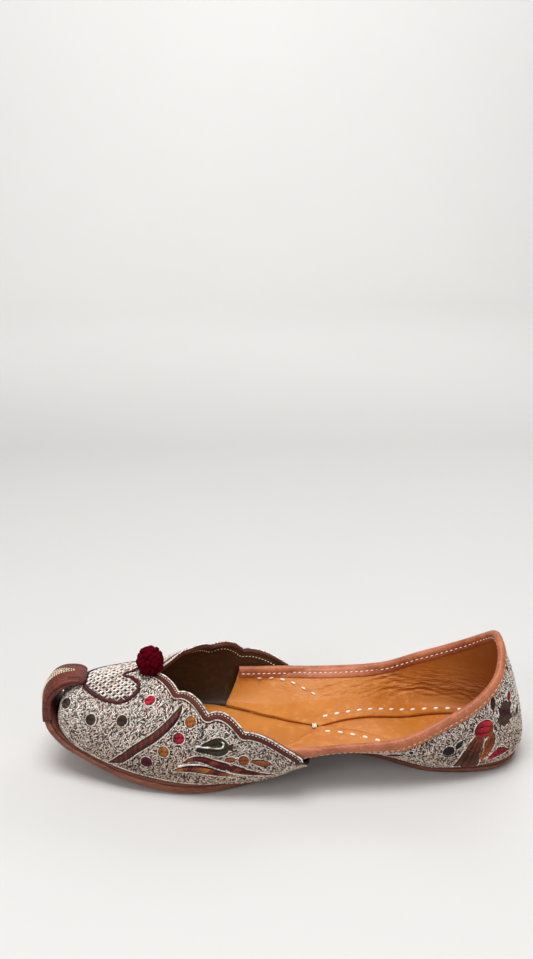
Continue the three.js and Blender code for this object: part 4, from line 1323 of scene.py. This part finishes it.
# each tuft lighter on a curl's crown and darker down between curls: painted shade, with some random tone
shade = np.array(pompomLook["wool"]) * (0.35 + 0.75 * dome[:, None] + 0.25 * random.random((len(out), 1)))
sideways = unit(np.cross(lean, random.normal(size=out.shape)))
tufts = stitches(ballCentre + out * reach[:, None] * ballShape, lean, sideways, 1.7, 0.8, 0.8, shade)
stitchPiece("pompom_wool", [tufts], finishes["wool"])
angle = np.linspace(0, 2 * math.pi, 40, endpoint=False)[None, :]
tilt = np.linspace(0.02, math.pi - 0.02, 24)[:, None]
core = np.stack([np.sin(tilt) * np.cos(angle), np.sin(tilt) * np.sin(angle), np.cos(tilt) + 0 * angle], -1)
# the ball under the tufts, far darker than the wool: painted shade for the pompom's depths
tubePiece("pompom_core", ballCentre + core * ballShape * pompomLook["core"], finishes["wool"],
          ["pompom"], colour=pompomLook["coreShadeColour"])
print("forms done")

# floor, light and camera
# a flat run, a quarter circle and an upright wall behind, in metres
floorLook = dict(front=2.2, back=-1.4, radius=0.8, top=3.4, halfWidth=2.6, below=0.0002)
bend = np.linspace(0, math.pi / 2, 24)[1:]
radius = floorLook["radius"]
depth = np.concatenate([np.linspace(floorLook["front"], floorLook["back"], 24),
                        floorLook["back"] - radius * np.sin(bend), np.full(8, floorLook["back"] - radius)])
rise = np.concatenate([np.zeros(24), radius - radius * np.cos(bend),
                       np.linspace(radius, floorLook["top"], 9)[1:]])
x = np.linspace(-floorLook["halfWidth"], floorLook["halfWidth"], 12)
cove = np.stack(np.broadcast_arrays(x[None, :], depth[:, None], rise[:, None] - floorLook["below"]), -1)
floorMesh = bpy.data.meshes.new("floor")
floorMesh.from_pydata(cove.reshape(-1, 3).tolist(), [], gridQuads(*cove.shape[:2])[:, ::-1].tolist())
floorMesh.polygons.foreach_set("use_smooth", np.ones(len(floorMesh.polygons), bool))
floor = bpy.data.objects.new("floor", floorMesh)
bpy.context.scene.collection.objects.link(floor)
floorMaterial, tree, shader, place = newMaterial("pale_floor", 0.6)
paper = mixNode(tree, noiseNode(tree, place, 3), (0.6, 0.59, 0.58), (0.63, 0.62, 0.61))
tree.links.new(paper, shader.inputs["Base Color"])
floorMesh.materials.append(floorMaterial)

studio = dict(world=0.36, key=14.5, fill=3.2, rim=1.8, heelFill=1.7, back=29)
world = bpy.data.worlds.new("studio")
world.use_nodes = True
world.node_tree.nodes["Background"].inputs["Color"].default_value = (1, 0.985, 0.97, 1)
world.node_tree.nodes["Background"].inputs["Strength"].default_value = studio["world"]
bpy.context.scene.world = world
bpy.context.scene.view_settings.view_transform = "Standard"


def areaLight(name, place, target, size, power):  # a rectangle that faces its target
    light = bpy.data.lights.new(name, "AREA")
    light.shape = "RECTANGLE"
    light.size, light.size_y = size
    light.energy = power
    lamp = bpy.data.objects.new(name, light)
    lamp.location = place
    lamp.rotation_euler = (Vector(target) - Vector(place)).to_track_quat("-Z", "Y").to_euler()
    bpy.context.scene.collection.objects.link(lamp)


areaLight("key", (0.12, 0.22, 1.25), (0, 0, 0.02), (0.75, 0.6), studio["key"])
areaLight("fill", (0.7, 0.8, 0.7), (0, 0, 0.03), (0.5, 0.5), studio["fill"])
areaLight("rim", (-0.5, -0.7, 0.7), (0, 0, 0.03), (0.7, 0.3), studio["rim"])
areaLight("heel_fill", (-0.7, 0.75, 0.3), (-0.09, 0, 0.02), (0.4, 0.4), studio["heelFill"])
areaLight("backdrop", (0, -0.9, 1.3), (0, -2.4, 0.9), (2.4, 1.2), studio["back"])

cameraLook = dict(place=(0.02285, 0.4589, 0.3115), pitch=19.05, yaw=-1.73, roll=-0.3, lens=37.73, sensor=36)
camera = bpy.data.cameras.new("camera")
camera.lens = cameraLook["lens"]
camera.sensor_width = cameraLook["sensor"]
cameraObject = bpy.data.objects.new("camera", camera)
bpy.context.scene.collection.objects.link(cameraObject)
bpy.context.scene.camera = cameraObject


def aimCamera(place, pitch, yaw, roll):
    # looks along -Y, turned by yaw, down by pitch, then rolled about its axis
    pitch, yaw, roll = (math.radians(a) for a in (pitch, yaw, roll))
    turn = np.array([[math.cos(yaw), -math.sin(yaw), 0], [math.sin(yaw), math.cos(yaw), 0], [0, 0, 1]])
    forward = turn @ np.array([0, -math.cos(pitch), -math.sin(pitch)])
    right = turn @ np.array([-1.0, 0, 0])
    up = turn @ np.array([0, -math.sin(pitch), math.cos(pitch)])
    right, up = right * math.cos(roll) + up * math.sin(roll), -right * math.sin(roll) + up * math.cos(roll)
    matrix = np.eye(4)
    matrix[:3, 0], matrix[:3, 1], matrix[:3, 2], matrix[:3, 3] = right, up, -forward, place
    return Matrix(matrix.tolist())


cameraObject.matrix_world = aimCamera(*(cameraLook[key] for key in ("place", "pitch", "yaw", "roll")))
bpy.context.view_layer.update()
